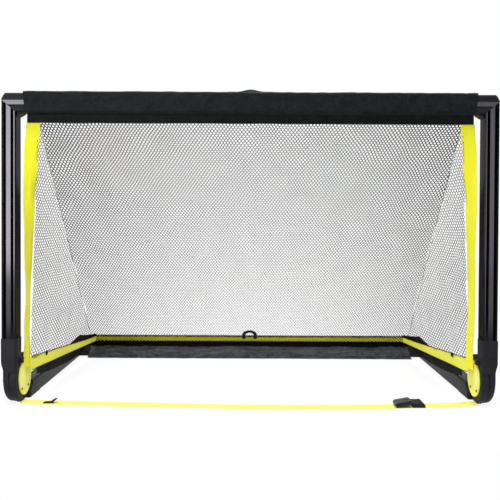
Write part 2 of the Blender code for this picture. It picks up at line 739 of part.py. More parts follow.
def make_button(side, word, plastic, steel):
    inner_face = RAIL_OUTER - RAIL_WALL - GAP
    flange_back = inner_face - BUTTON_FLANGE
    tip = HALF_WIDTH + BUTTON_PROUD
    profile = [
        (flange_back, 0),
        (flange_back, BUTTON_FLANGE_RADIUS),
        (inner_face, BUTTON_FLANGE_RADIUS),
        (inner_face, BUTTON_RADIUS),
        (tip - COLLAR_LIP, BUTTON_RADIUS),
        (tip, BUTTON_RADIUS - 1.5 * COLLAR_LIP),
        (tip, 0),
    ]
    bm = turned(profile, BUTTON_Y, BUTTON_Z, 20)
    origin = (side * tip, BUTTON_Y, BUTTON_Z)
    add("push_button_" + word, sided(bm, side), plastic, origin)
    seat = RAIL_INNER + RAIL_WALL + GAP + SPRING_WIRE / 2
    length = flange_back - GAP - SPRING_WIRE / 2 - seat
    curve = bpy.data.curves.new("button_spring_" + word, "CURVE")
    curve.dimensions = "3D"
    curve.bevel_depth = SPRING_WIRE / 2
    curve.bevel_resolution = 0
    curve.use_fill_caps = True
    curve.materials.append(steel)
    count = SPRING_TURNS * SPRING_POINTS + 1
    spline = curve.splines.new("POLY")
    spline.points.add(count - 1)
    for i, point in enumerate(spline.points):
        angle = 2 * math.pi * i / SPRING_POINTS
        x = seat + length * i / (count - 1)
        y = BUTTON_Y + SPRING_RADIUS * math.cos(angle)
        z = BUTTON_Z + SPRING_RADIUS * math.sin(angle)
        point.co = (side * x, y, z, 1)
    obj = bpy.data.objects.new("button_spring_" + word, curve)
    bpy.context.scene.collection.objects.link(obj)
    obj.location = (0, MOUTH, 0)


# Sleeves and handle

def make_crossbar_sleeve(nylon, fold):
    hem_front = HEM_PLACE - HEM_CLOTH / 2
    hem_back = HEM_PLACE + HEM_CLOTH / 2
    low_z = BAR_BOTTOM - SLEEVE_INSET
    back = RAIL_FRONT + RAIL_DEPTH + SLEEVE_INSET
    around = rounded_rectangle((RAIL_FRONT - SLEEVE_INSET, low_z), (back, SLEEVE_TOP), RAIL_CORNER)
    # The hem hangs from the straight lower side, between its last corner point and the first of the next.
    split = 3 * (CORNER_STEPS + 1)
    hem = [(hem_front, low_z), (hem_front, HEM_BOTTOM), (hem_back, HEM_BOTTOM), (hem_back, low_z)]
    outline = around[:split] + hem + around[split:]
    rings = []
    for side in (-1, 1):
        ring = []
        for y, z in outline:
            slant = SLEEVE_END_SLANT * (SLEEVE_TOP - z) / (SLEEVE_TOP - HEM_BOTTOM)
            ring.append((side * (SLEEVE_HALF_LENGTH - slant), y, z))
        rings.append(ring)
    obj = add("crossbar_sleeve", loft(rings), nylon, parent=fold)
    bore_high = (RAIL_FRONT + RAIL_DEPTH + GAP, SLEEVE_TOP - SLEEVE_CLOTH)
    bore = rounded_rectangle((RAIL_FRONT - GAP, BAR_BOTTOM - GAP), bore_high, RAIL_CORNER)
    cut(obj, prism(bore, "X", -SLEEVE_HALF_LENGTH - CUT, SLEEVE_HALF_LENGTH + CUT), fold)


def make_rear_sleeve(nylon):
    top = RAIL_FRONT + RAIL_DEPTH + SLEEVE_INSET
    front = REAR_FRONT - SLEEVE_INSET
    around = rounded_rectangle((front, 0.0), (BASE_DEPTH, top), RAIL_CORNER)
    # A hem stands on the upper side and a loose flap runs forward and down to the floor.
    first = CORNER_STEPS + 1
    hem = [(REAR_HEM_Y + HEM_CLOTH, top), (REAR_HEM_Y + HEM_CLOTH, REAR_HEM_TOP)]
    hem += [(REAR_HEM_Y, REAR_HEM_TOP), (REAR_HEM_Y, top)]
    flap = [
        (front, top - RAIL_CORNER - FLAP_CLOTH),
        (front - FLAP_REACH, FLAP_CLOTH),
        (front - FLAP_REACH, 0.0),
        (front - FLAP_REACH + FLAP_CLOTH, 0.0),
        (front, top - RAIL_CORNER - 3 * FLAP_CLOTH),
    ]
    outline = around[:first] + hem + around[first:2 * first] + flap + around[2 * first:]
    half = REAR_SLEEVE_HALF_LENGTH
    obj = add("rear_sleeve", prism(outline, "X", -half, half), nylon)
    bore_high = (REAR_EDGE + GAP, RAIL_FRONT + RAIL_DEPTH + GAP)
    bore = rounded_rectangle((REAR_FRONT - GAP, RAIL_FRONT - GAP), bore_high, RAIL_CORNER)
    cut(obj, prism(bore, "X", -half - CUT, half + CUT))


def make_handle(webbing, fold):
    middle = RAIL_FRONT + RAIL_DEPTH / 2
    low = SLEEVE_TOP + GAP + WEBBING / 2
    half = HANDLE_LENGTH / 2
    inner = half - HANDLE_FLAT
    stations = []
    for x in (-half, -inner, -inner / 2, 0, inner / 2, inner, half):
        rise = HANDLE_RISE * math.cos(math.pi / 2 * min(abs(x) / inner, 1))
        stations.append(((x, middle, low + rise), (0, 1, 0), HANDLE_WIDTH))
    add("carry_handle", ribbon(stations, WEBBING), webbing, parent=fold)


# Net and tapes

def tape_place(y):
    # Distance from the middle, top edge and width of a side net's bottom tape.
    share = (y - TAPE_START) / (TAPE_END - TAPE_START)
    x = TAPE_X_FRONT + (TAPE_X_REAR - TAPE_X_FRONT) * share
    top = TAPE_FRONT_TOP + (TAPE_REAR_TOP - TAPE_FRONT_TOP) * share
    width = TAPE_FRONT_WIDTH + (TAPE_REAR_WIDTH - TAPE_FRONT_WIDTH) * share
    return x, top, width


def make_bottom_tape(side, word, yellow):
    stations = []
    for y in (TAPE_START, TAPE_END):
        x, top, width = tape_place(y)
        stations.append(((x, y, top - width / 2), (0, 0, 1), width))
    add("bottom_tape_" + word, sided(ribbon(stations, WEBBING), side), yellow)


def make_front_tape(side, word, yellow):
    bottom = FRONT_TAPE_FOOT
    top = HEM_BOTTOM - GAP
    stations = []
    for step in range(FRONT_TAPE_STEPS + 1):
        share = step / FRONT_TAPE_STEPS
        turn = math.radians(90) * share ** 3
        x = FRONT_TAPE_FOOT_X + (FRONT_TAPE_TOP_X - FRONT_TAPE_FOOT_X) * share
        y = FRONT_TAPE_Y + (HEM_PLACE - FRONT_TAPE_Y) * share
        width = FRONT_TAPE_WIDTH + (FRONT_TAPE_TOP_WIDTH - FRONT_TAPE_WIDTH) * share
        middle = (x, y, bottom + (top - bottom) * share)
        stations.append((middle, (math.sin(turn), -math.cos(turn), 0), width))
    # The tape twists, so its faces are split into flat ones
    bm = ribbon(stations, WEBBING)
    bmesh.ops.triangulate(bm, faces=bm.faces)
    add("front_tape_" + word, sided(bm, side), yellow)


def make_nets(mesh_black):
    lift = NET_THICKNESS / 2 + GAP
    corners = (
        (-SEAM_HALF_WIDTH, HEM_PLACE, HEM_BOTTOM - lift),
        (SEAM_HALF_WIDTH, HEM_PLACE, HEM_BOTTOM - lift),
        (SEAM_HALF_WIDTH, REAR_HEM_Y + HEM_CLOTH / 2, REAR_TAPE_TOP + lift),
        (-SEAM_HALF_WIDTH, REAR_HEM_Y + HEM_CLOTH / 2, REAR_TAPE_TOP + lift),
    )
    net("net_back", net_panel(corners, BACK_COLUMNS, BACK_ROWS), mesh_black)
    seam = SEAM_HALF_WIDTH + NET_THICKNESS + GAP
    slope = (REAR_HEM_Y - HEM_PLACE) / (HEM_BOTTOM - REAR_TAPE_TOP)
    seam_top_y = HEM_PLACE + slope * (HEM_BOTTOM - SIDE_NET_TOP)
    front_x, front_z, _ = tape_place(TAPE_START)
    rear_x, rear_z, _ = tape_place(TAPE_END)
    corners = (
        (seam + NET_THICKNESS, seam_top_y - SIDE_NET_TOP_WIDTH, SIDE_NET_TOP),
        (seam, seam_top_y, SIDE_NET_TOP),
        (rear_x, TAPE_END, rear_z + lift),
        (front_x, TAPE_START + NET_STRAND, front_z + lift),
    )
    for side, word in SIDES:
        net("net_side_" + word, sided(net_panel(corners, SIDE_COLUMNS, SIDE_ROWS), side), mesh_black)


def net(name, bm, material):
    obj = add(name, bm, material)
    solidify = obj.modifiers.new("strand", "SOLIDIFY")
    solidify.thickness = NET_THICKNESS
    solidify.offset = 0.0


def make_rear_tape(yellow):
    low = (-REAR_TAPE_HALF_LENGTH, REAR_HEM_Y + HEM_CLOTH / 4, REAR_HEM_TOP + GAP)
    high = (REAR_TAPE_HALF_LENGTH, REAR_HEM_Y + HEM_CLOTH / 4 + WEBBING, REAR_TAPE_TOP)
    add("rear_tape", box(low, high), yellow)


def make_storage_loop(webbing):
    # A half ring that leans forward with the back net, on two legs in a foot sewn to the rear tape.
    tape_face = REAR_HEM_Y + HEM_CLOTH / 4 - GAP
    front = tape_face - LOOP_STAND_OFF
    low = REAR_TAPE_TOP - LOOP_LEG
    lean = Vector((0, HEM_PLACE - REAR_HEM_Y, HEM_BOTTOM - REAR_TAPE_TOP)).normalized()
    shoulder = Vector((0, front, REAR_TAPE_TOP))
    across = lean.cross(Vector((1, 0, 0)))
    stations = [((-LOOP_RADIUS, front, low), (0, 1, 0), LOOP_THICKNESS)]
    for step in range(LOOP_STEPS + 1):
        angle = math.pi - math.pi * step / LOOP_STEPS
        middle = shoulder + lean * LOOP_RADIUS * math.sin(angle)
        middle.x = LOOP_RADIUS * math.cos(angle)
        stations.append((tuple(middle), tuple(across), LOOP_THICKNESS))
    stations.append(((LOOP_RADIUS, front, low), (0, 1, 0), LOOP_THICKNESS))
    loop = add("storage_loop", ribbon(stations, LOOP_THICKNESS), webbing)
    half = LOOP_RADIUS + LOOP_THICKNESS
    foot_low = (-half, front - LOOP_THICKNESS / 4, low - LOOP_THICKNESS)
    join(loop, box(foot_low, (half, tape_face, low + LOOP_THICKNESS)))


def make_corner_patch(side, word, nylon):
    rings = []
    for offset in (0, WEBBING):
        ring = []
        for share, rise in ((0, 0), (PATCH_PEAK, PATCH_RISE), (1, PATCH_END_RISE), (1, 0)):
            y = TAPE_END - PATCH_LENGTH * (1 - share)
            x, top, _ = tape_place(y)
            out = WEBBING / 2 + GAP + offset
            ring.append((x + out, y, top - PATCH_LAP + rise))
        rings.append(ring)
    add("corner_patch_" + word, sided(loft(rings), side), nylon)


def make_hem_button(side, word, plastic):
    x, top, _ = tape_place(HEM_BUTTON_Y)
    lean = HEM_BUTTON_RADIUS * (TAPE_X_FRONT - TAPE_X_REAR) / (TAPE_END - TAPE_START)
    face = x - WEBBING / 2 - GAP - lean
    profile = [(face, 0), (face, HEM_BUTTON_RADIUS)]
    profile += [(face - HEM_BUTTON_HEIGHT, HEM_BUTTON_CROWN), (face - HEM_BUTTON_HEIGHT, 0)]
    bm = turned(profile, HEM_BUTTON_Y, top, 12)
    add("hem_button_" + word, sided(bm, side), plastic)


def make_tape_hook(side, word, plastic, fold):
    # A short hook on the collar's inner face that holds the foot of the front tape.
    face = COLLAR_INNER - GAP
    outline = [
        (face, HOOK_Y - HOOK_WIDTH / 2),
        (face, HOOK_Y + HOOK_WIDTH / 2),
        (face - HOOK_REACH, HOOK_Y + HOOK_WIDTH / 2),
        (face - HOOK_REACH, HOOK_Y - HOOK_WIDTH / 2 + HOOK_SLOPE),
    ]
    bm = prism(outline, "Z", HOOK_Z - HOOK_HEIGHT / 2, HOOK_Z + HOOK_HEIGHT / 2)
    add("tape_hook_" + word, sided(bm, side), plastic, parent=fold)


# Ground strap, drawn from its left end to its right end

def strap_y(x):
    return STRAP_MIDDLE_Y + (STRAP_END_Y - STRAP_MIDDLE_Y) * (x / STRAP_END) ** STRAP_BEND


def make_strap(yellow):
    stations = []
    for step in range(STRAP_STEPS + 1):
        x = STRAP_END * (2 * step / STRAP_STEPS - 1)
        stations.append(((x, strap_y(x), WEBBING / 2 + GAP), (0, 1, 0), STRAP_WIDTH))
    add("ground_strap", ribbon(stations, WEBBING), yellow)


def make_strap_pieces(plastic, webbing):
    top = WEBBING + 2 * GAP
    half = STRAP_WIDTH / 2
    # A slide at the left whose free edge stands up as a fin
    y = strap_y(CLIP_X)
    start = -CLIP_X - CLIP_LENGTH / 2
    fin = start + CLIP_LENGTH - CLIP_PLATE
    outline = [
        (start, top),
        (start + CLIP_LENGTH, top),
        (start + CLIP_LENGTH, top + CLIP_PLATE),
        (fin + CLIP_FIN_LENGTH / 2, top + CLIP_FIN_HEIGHT),
        (fin - CLIP_FIN_LENGTH / 4, top + CLIP_FIN_HEIGHT - CLIP_PLATE / 2),
        (fin - CLIP_FIN_LENGTH / 2, top + CLIP_PLATE),
        (start, top + CLIP_PLATE),
    ]
    add("strap_clip", prism(outline, "Y", y - CLIP_DEPTH / 2, y + CLIP_DEPTH / 2), plastic)
    # A rounded ladder buckle at the right, with two slots
    buckle_end = BUCKLE_START + BUCKLE_LENGTH
    y = strap_y((BUCKLE_START + buckle_end) / 2)
    high = top + BUCKLE_HEIGHT
    outline = [(buckle_end, top), (BUCKLE_START, top), (BUCKLE_START, high - BUCKLE_LIP)]
    outline.append((BUCKLE_START + BUCKLE_LIP, high))
    outline += arc((buckle_end - BUCKLE_ROUND, high - BUCKLE_ROUND), BUCKLE_ROUND, 90, 0, TAIL_STEPS)
    buckle = add("strap_buckle", prism(outline, "Y", y - half - BUCKLE_LIP, y + half + BUCKLE_LIP), plastic)
    for number in (1, 2):
        middle = BUCKLE_START + number * BUCKLE_LENGTH / 3
        slot_low = (middle - BUCKLE_SLOT / 2, y - half, top - CUT)
        slot_high = (middle + BUCKLE_SLOT / 2, y + half, high + CUT)
        cut(buckle, box(slot_low, slot_high))
    # The strap's black tail, folded into a flat loop that climbs towards the buckle
    y = strap_y((TAIL_START + TAIL_END) / 2)
    outer = tail_outline(top, TAIL_ROUND)
    tail = add("strap_tail", prism(outer, "Y", y - half, y + half), webbing)
    inner = tail_outline(top, TAIL_ROUND - 2 * WEBBING)
    cut(tail, prism(inner, "Y", y - half - CUT, y + half + CUT))


def tail_outline(top, radius):
    low = (TAIL_START, top + TAIL_ROUND)
    high = (TAIL_END, top + TAIL_ROUND + TAIL_RISE)
    tilt = math.degrees(math.atan2(high[1] - low[1], high[0] - low[0]))
    outline = arc(high, radius, tilt - 90, tilt + 90, TAIL_STEPS)
    return outline + arc(low, radius, tilt + 90, tilt + 270, TAIL_STEPS)


def build():
    clear_scene()
    metal = make_material("black_anodised_aluminium", (0.025, 0.024, 0.028), 0.28, 0.8)
    plastic = make_material("black_moulded_plastic", (0.022, 0.022, 0.025), 0.6)
    yellow_plastic = make_material("yellow_moulded_plastic", (0.85, 0.84, 0.12), 0.45)
    nylon = make_material("black_nylon_cloth", (0.02, 0.021, 0.022), 0.85)
    grey_nylon = make_material("dark_grey_nylon_cloth", (0.045, 0.047, 0.055), 0.8)
    yellow = make_material("yellow_webbing", (0.85, 0.86, 0.05), 0.75)
    webbing = make_material("black_webbing", (0.018, 0.018, 0.02), 0.8)
    mesh_black = make_material("black_net_cord", (0.03, 0.03, 0.032), 0.8)
    steel = make_material("zinc_plated_steel", (0.5, 0.5, 0.52), 0.35, 1.0)
    fold = axis_empty("fold_axis", HINGE_RADIUS, HINGE)
    make_crossbar(metal, fold)
    make_rear_bar(metal)
    make_crossbar_sleeve(nylon, fold)
    make_rear_sleeve(grey_nylon)
    make_handle(webbing, fold)
    make_rear_tape(yellow)
    make_storage_loop(webbing)
    make_nets(mesh_black)
    make_strap(yellow)
    make_strap_pieces(plastic, webbing)
    for side, word in SIDES:
        make_post(side, word, metal, fold)
        make_base_rail(side, word, metal)
        insert = make_insert("corner_insert_" + word, side, RAIL_OUTER, BAR_TOP, "Y", plastic, fold)
        cut(insert, sided(gusset_screw_hole(SCREW_RADIUS + GAP), side), fold)
        make_insert("rear_insert_" + word, side, BASE_OUTER, REAR_EDGE, "Z", plastic)
        make_gusset(side, word, plastic, steel, fold)
        make_upper_knuckle(side, word, plastic, fold)
        make_lower_knuckle(side, word, plastic)
        make_hinge_hardware(side, word, steel)
        make_disc_cap(side, word, yellow_plastic, steel)
        make_button(side, word, plastic, steel)
        make_bottom_tape(side, word, yellow)
        make_front_tape(side, word, yellow)
        make_corner_patch(side, word, nylon)
        make_hem_button(side, word, plastic)
        make_tape_hook(side, word, plastic, fold)


build()
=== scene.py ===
import math

import bmesh
import bpy
from mathutils import Matrix, Vector, noise


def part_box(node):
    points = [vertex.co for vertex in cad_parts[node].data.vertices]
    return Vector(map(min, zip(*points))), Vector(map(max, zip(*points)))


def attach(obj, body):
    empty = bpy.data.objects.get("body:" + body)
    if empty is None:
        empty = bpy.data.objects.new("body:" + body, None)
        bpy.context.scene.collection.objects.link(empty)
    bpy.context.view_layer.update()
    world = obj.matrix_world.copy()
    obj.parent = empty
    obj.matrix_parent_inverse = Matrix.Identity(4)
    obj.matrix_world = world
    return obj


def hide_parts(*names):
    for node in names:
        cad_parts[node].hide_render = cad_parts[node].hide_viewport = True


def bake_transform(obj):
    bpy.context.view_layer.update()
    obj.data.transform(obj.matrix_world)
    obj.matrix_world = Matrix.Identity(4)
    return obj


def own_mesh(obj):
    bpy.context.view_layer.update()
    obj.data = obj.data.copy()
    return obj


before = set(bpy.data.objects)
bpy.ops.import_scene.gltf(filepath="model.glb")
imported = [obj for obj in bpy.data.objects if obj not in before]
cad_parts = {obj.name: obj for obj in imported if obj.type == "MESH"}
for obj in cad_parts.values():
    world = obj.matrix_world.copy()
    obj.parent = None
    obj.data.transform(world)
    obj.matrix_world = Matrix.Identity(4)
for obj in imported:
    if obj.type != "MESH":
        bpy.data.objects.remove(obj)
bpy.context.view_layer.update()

# Lines that several pieces share, in metres; a depth is counted back from the mouth
mouthY = -0.325
hingeY = mouthY + 0.060
hingeZ = 0.0595
frameTop = 0.755
frameOuter = 0.5985  # outer face of posts and crossbar
baseOuter = 0.588  # outer face of the base rails
baseEnd = 0.6485  # depth of the rear bar's back
railMiddle = 0.0215  # middle of a rail's thickness
buttonZ = 0.1545
sides = ((-1, "left"), (1, "right"))


def addCamera():
    # As the photo was taken: almost level, in front of the middle
    view = {
        "distance": 1.70, "height": 0.4667, "focal": 51.02, "sensor": 36, "near": 0.05,
        "drop": -0.0499, "roll": 0.2665, "pitch": 0.9,
    }
    data = bpy.data.cameras.new("camera")
    data.lens = view["focal"]
    data.sensor_width = view["sensor"]
    data.shift_y = view["drop"]
    data.clip_start = view["near"]
    camera = bpy.data.objects.new("camera", data)
    bpy.context.scene.collection.objects.link(camera)
    place = Matrix.Translation((0, mouthY - view["distance"], view["height"]))
    tilt = Matrix.Rotation(math.radians(90 - view["pitch"]), 4, "X")
    camera.matrix_world = place @ tilt @ Matrix.Rotation(math.radians(view["roll"]), 4, "Z")
    bpy.context.scene.camera = camera


addCamera()
print("camera placed")


# Materials

def linear(hexColour):
    values = []
    for start in (0, 2, 4):
        value = int(hexColour[start:start + 2], 16) / 255
        values.append(value / 12.92 if value <= 0.04045 else ((value + 0.055) / 1.055) ** 2.4)
    return (*values, 1.0)


def setInputs(material, node, inputs):
    # An input is a value, a hex colour or the socket that feeds it
    for key, value in inputs.items():
        if isinstance(value, bpy.types.NodeSocket):
            material.node_tree.links.new(value, node.inputs[key])
        else:
            node.inputs[key].default_value = linear(value) if isinstance(value, str) else value


def addNode(material, kind, inputs, output=0, **settings):
    # Adds a node with its settings and links, and returns one of its outputs
    node = material.node_tree.nodes.new("ShaderNode" + kind)
    for name, value in settings.items():
        setattr(node, name, value)
    setInputs(material, node, inputs)
    return node.outputs[output]


def newMaterial(name):
    material = bpy.data.materials.new(name)
    material.use_nodes = True
    return material, material.node_tree.nodes["Principled BSDF"]


def grains(material, size, detail=2.0, stretch=(1, 1, 1)):
    # Noise in object space; size is that of its grains in millimetres
    place = addNode(material, "TexCoord", {}, "Object")
    mapped = addNode(material, "Mapping", {"Vector": place, "Scale": stretch})
    return addNode(material, "TexNoise", {"Vector": mapped, "Scale": 1000 / size, "Detail": detail}, "Fac")


def ribs(material, pitch, direction):
    # Even ribs, pitch millimetres apart, across one direction of the UV map, which is in metres
    scale = 1000 / pitch / 20 * 2 * math.pi  # at scale 1 there are 20 / (2 pi) ribs in a metre
    place = addNode(material, "TexCoord", {}, "UV")
    return addNode(material, "TexWave", {"Vector": place, "Scale": scale}, "Fac", bands_direction=direction)


def mottling(material, large, small, detail):
    # Patches of two sizes, multiplied and drawn apart
    both = addNode(material, "Math", {
        0: grains(material, large, detail), 1: grains(material, small),
    }, operation="MULTIPLY")
    return addNode(material, "MapRange", {"Value": both, "To Min": -0.5, "To Max": 3.5})


def twoToned(name, shine, grain, detail, dark, light, rough):
    # Two close tones and a roughness that follow one fine noise
    material, shader = newMaterial(name)
    fine = grains(material, grain, detail)
    setInputs(material, shader, {
        **shine,
        "Base Color": addNode(material, "Mix", {0: fine, 6: dark, 7: light}, 2, data_type="RGBA"),
        "Roughness": addNode(material, "MapRange", {"Value": fine, "To Min": rough[0], "To Max": rough[1]}),
    })
    return material


def anodisedExtrusion():
    # Black anodised aluminium, extruded: glossy, faintly purple, with fine lines along the bar,
    # which are drawn 0.9 mm wide so that they show
    material, shader = newMaterial("anodised extruded aluminium")
    cloud = grains(material, 70, 3)
    lines = grains(material, 0.9, 2, (1, 1, 0.02))
    both = addNode(material, "Math", {0: cloud, 1: lines}, operation="MULTIPLY")
    setInputs(material, shader, {
        "Metallic": 1.0, "Specular Tint": (0.56, 0.56, 0.56, 1),
        "Base Color": addNode(material, "Mix", {0: cloud, 6: "201F22", 7: "29282B"}, 2, data_type="RGBA"),
        "Roughness": addNode(material, "MapRange", {"Value": both, "To Min": 0.10, "To Max": 0.22}),
    })
    return material


def matteBlack(name, dark, light, grain):
    # Black with a matte grain, a little patchy; the grain is drawn coarser than the real one
    material, shader = newMaterial(name)
    fine = grains(material, grain, 3)
    cloud = mottling(material, 25, 4, 2)
    setInputs(material, shader, {
        "IOR": 1.5, "Specular IOR Level": 0.2,
        "Base Color": addNode(material, "Mix", {0: cloud, 6: dark, 7: light}, 2, data_type="RGBA"),
        "Roughness": addNode(material, "MapRange", {"Value": fine, "To Min": 0.5, "To Max": 0.68}),
        "Normal": addNode(material, "Bump", {"Height": fine, "Distance": 0.00005}),
    })
    return material


def wovenNylon(name, dark, light, sheen, gloss, crease=3.0):
    # Plain-woven nylon cloth: crumpled a little, mottled, with a dull sheen; its threads are drawn
    # 0.9 mm apart, about three times too coarse, so that they show
    material, shader = newMaterial(name)
    cloud = mottling(material, 18, 5, 4)
    weave = addNode(material, "Math", {
        0: ribs(material, 0.9, "X"), 1: ribs(material, 0.9, "Y"),
    }, operation="MULTIPLY")
    relief = None
    layers = ((grains(material, 26, 4), crease), (grains(material, 7, 3), crease * 0.35), (weave, 0.12))
    for height, depth in layers:
        inputs = {"Height": height, "Distance": depth / 1000}
        relief = addNode(material, "Bump", {**inputs, "Normal": relief} if relief else inputs)
    setInputs(material, shader, {
        "IOR": 1.5, "Specular IOR Level": gloss, "Sheen Weight": sheen, "Sheen Roughness": 0.4,
        "Base Color": addNode(material, "Mix", {0: cloud, 6: dark, 7: light}, 2, data_type="RGBA"),
        "Roughness": addNode(material, "MapRange", {"Value": weave, "To Min": 0.5, "To Max": 0.75}),
        "Normal": relief,
    })
    return material


def webbing(name, dark, light):
    # Flat woven webbing: ribs in rows along its length, darker between them as painted shade in the grooves,
    # and darker where it is worn
    material, shader = newMaterial(name)
    weave = addNode(material, "Math", {
        0: ribs(material, 1.6, "Y"), 1: ribs(material, 3.2, "X"),
    }, operation="MULTIPLY")
    wear = addNode(material, "MapRange", {"Value": grains(material, 12, 3), "To Min": 0.0, "To Max": 0.35})
    # Painted shade: the base colour darkens in the grooves between the ribs
    base = addNode(material, "Mix", {0: weave, 6: dark, 7: light}, 2, data_type="RGBA")
    setInputs(material, shader, {
        "IOR": 1.5, "Specular IOR Level": 0.3, "Sheen Weight": 0.2, "Sheen Roughness": 0.5,
        "Base Color": addNode(material, "Mix", {0: wear, 6: base, 7: dark}, 2, data_type="RGBA"),
        "Roughness": addNode(material, "MapRange", {"Value": weave, "To Min": 0.85, "To Max": 0.7}),
        "Normal": addNode(material, "Bump", {"Height": weave, "Distance": 0.00025}),
    })
    return material


metal = anodisedExtrusion()
plastic = matteBlack("injection moulded black nylon", "0E0E12", "19191D", 0.45)
screwBlack = matteBlack("black oxide steel", "0E0E10", "1A1A1C", 1.5)
capYellow = twoToned("injection moulded yellow plastic", {  # smooth and pale
    "IOR": 1.5, "Specular IOR Level": 0.5, "Subsurface Weight": 0.1, "Subsurface Scale": 0.002,
}, 18, 2, "EDEA50", "F5F27A", (0.32, 0.42))
nylon = wovenNylon("black woven nylon", "07080A", "181A1B", 0.02, 0.12)
# Near black: for hems, and as painted shade on the rear cloth
hemAndShadeNylon = wovenNylon("deep black hem nylon and painted shade", "030304", "08080A", 0.0, 0.04)
# Its grey is partly painted light: the black cloth of the rear sleeve and flap drawn lighter, as its upturned
# face looks under the lamps
greyNylonPaintedLight = wovenNylon("dark grey coated nylon, partly painted light", "060708", "383E43", 0.03, 0.5, 6.0)
yellowTape = webbing("yellow woven webbing", "E3E01A", "F8F53A")
# The strap's webbing is drawn paler than the tapes: partly painted glare, a highlight put into its yellow
paleGlareTape = webbing("pale yellow polyester webbing with painted glare", "E6E45A", "F8F788")
blackTape = webbing("black ribbed webbing", "0E0E10", "1F1F23")
cordBlack = twoToned("knitted polyester cord", {  # thin and slightly fluffy
    "IOR": 1.5, "Specular IOR Level": 0.15,
}, 3, 2, "0C0C0E", "1A1A1C", (0.7, 0.9))
zinc = twoToned("zinc plated steel", {  # faintly mottled
    "Metallic": 1.0,
}, 2, 3, "9A9A9E", "B8B8BC", (0.28, 0.42))
print("materials made")


# Mesh helpers

def finish(name, bm, material, angle=0):
    # Makes the mesh an object; it is smooth where its faces turn by less than angle
    name = name.replace(" ", "_")
    bmesh.ops.recalc_face_normals(bm, faces=bm.faces)
    mesh = bpy.data.meshes.new(name)
    bm.to_mesh(mesh)
    bm.free()
    if angle:
        mesh.shade_smooth()
        mesh.set_sharp_from_angle(angle=math.radians(angle))
    for item in material if isinstance(material, list) else [material]:
        mesh.materials.append(item)
    obj = bpy.data.objects.new(name, mesh)
    bpy.context.scene.collection.objects.link(obj)
    return obj


def addPiece(name, bm, material, body, node=None, angle=50):
    # One piece of the goal: what it rides on, its finish, and the node that it stands for, or "same"
    obj = finish(name, bm, material, angle)
    if body:
        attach(obj, body)
    if node:
        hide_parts(name.replace(" ", "_") if node == "same" else node)
    return obj


def arc(centre, radius, start, end, steps):
    points = []
    for step in range(steps + 1):
        angle = math.radians(start + (end - start) * step / steps)
        points.append((centre[0] + radius * math.cos(angle), centre[1] + radius * math.sin(angle)))
    return points


def ease(share):
    return share * share * (3 - 2 * share)


def limit(value):
    return min(1.0, max(0.0, value))


def filletPath(corners):
    # Rounds each corner of a closed outline; a corner is (a, b, radius)
    points = []
    for i, (a, b, radius) in enumerate(corners):
        if radius <= 0:
            points.append((a, b))
            continue
        here = Vector((a, b))
        back = (Vector(corners[i - 1][:2]) - here).normalized()
        ahead = (Vector(corners[(i + 1) % len(corners)][:2]) - here).normalized()
        half = back.angle(ahead) / 2
        centre = here + (back + ahead).normalized() * radius / math.sin(half)
        first, last = ((here + way * radius / math.tan(half) - centre).normalized() for way in (back, ahead))
        steps = 6 if radius > 0.002 else 2
        for step in range(steps + 1):
            points.append(tuple(centre + first.slerp(last, step / steps) * radius))
    return points


def loft(rings):
    # Fills the first ring and draws its face out from ring to ring
    bm = bmesh.new()
    face = bm.faces.new([bm.verts.new(point) for point in rings[0]])
    for ring in rings[1:]:
        made = bmesh.ops.extrude_face_region(bm, geom=[face, *face.edges])["geom"]
        face = next(item for item in made if isinstance(item, bmesh.types.BMFace))
        for vert, point in zip(face.verts, ring):
            vert.co = point
    bmesh.ops.recalc_face_normals(bm, faces=bm.faces)
    return bm


def roundedBlock(place, low, high, radius, start, end):
    # A block from start to end; low and high are two corners of its section
    section = filletPath([(a, b, radius) for a, b in (low, (high[0], low[1]), high, (low[0], high[1]))])
    return loft([[place(a, b, along) for a, b in section] for along in (start, end)])


def lathe(profile, y, z, steps=96):
    # A profile of (x, radius) points turned about the line along X through y and z
    bm = bmesh.new()
    verts = [bm.verts.new((x, y, z + radius)) for x, radius in profile]
    edges = [bm.edges.new(pair) for pair in zip(verts, verts[1:])]
    bmesh.ops.spin(
        bm, geom=verts + edges, cent=(0, y, z), axis=(1, 0, 0), angle=2 * math.pi, steps=steps, use_merge=True
    )
    bmesh.ops.remove_doubles(bm, verts=bm.verts, dist=0.000005)
    bmesh.ops.recalc_face_normals(bm, faces=bm.faces)
    return bm


def mirrorSide(bm, side):
    if side < 0:
        bmesh.ops.scale(bm, vec=(-1, 1, 1), verts=bm.verts)
        bmesh.ops.reverse_faces(bm, faces=bm.faces)
    return bm


def softNoise(x, y, size, seed):
    return noise.noise(Vector((x / size[0], y / size[1], seed)))


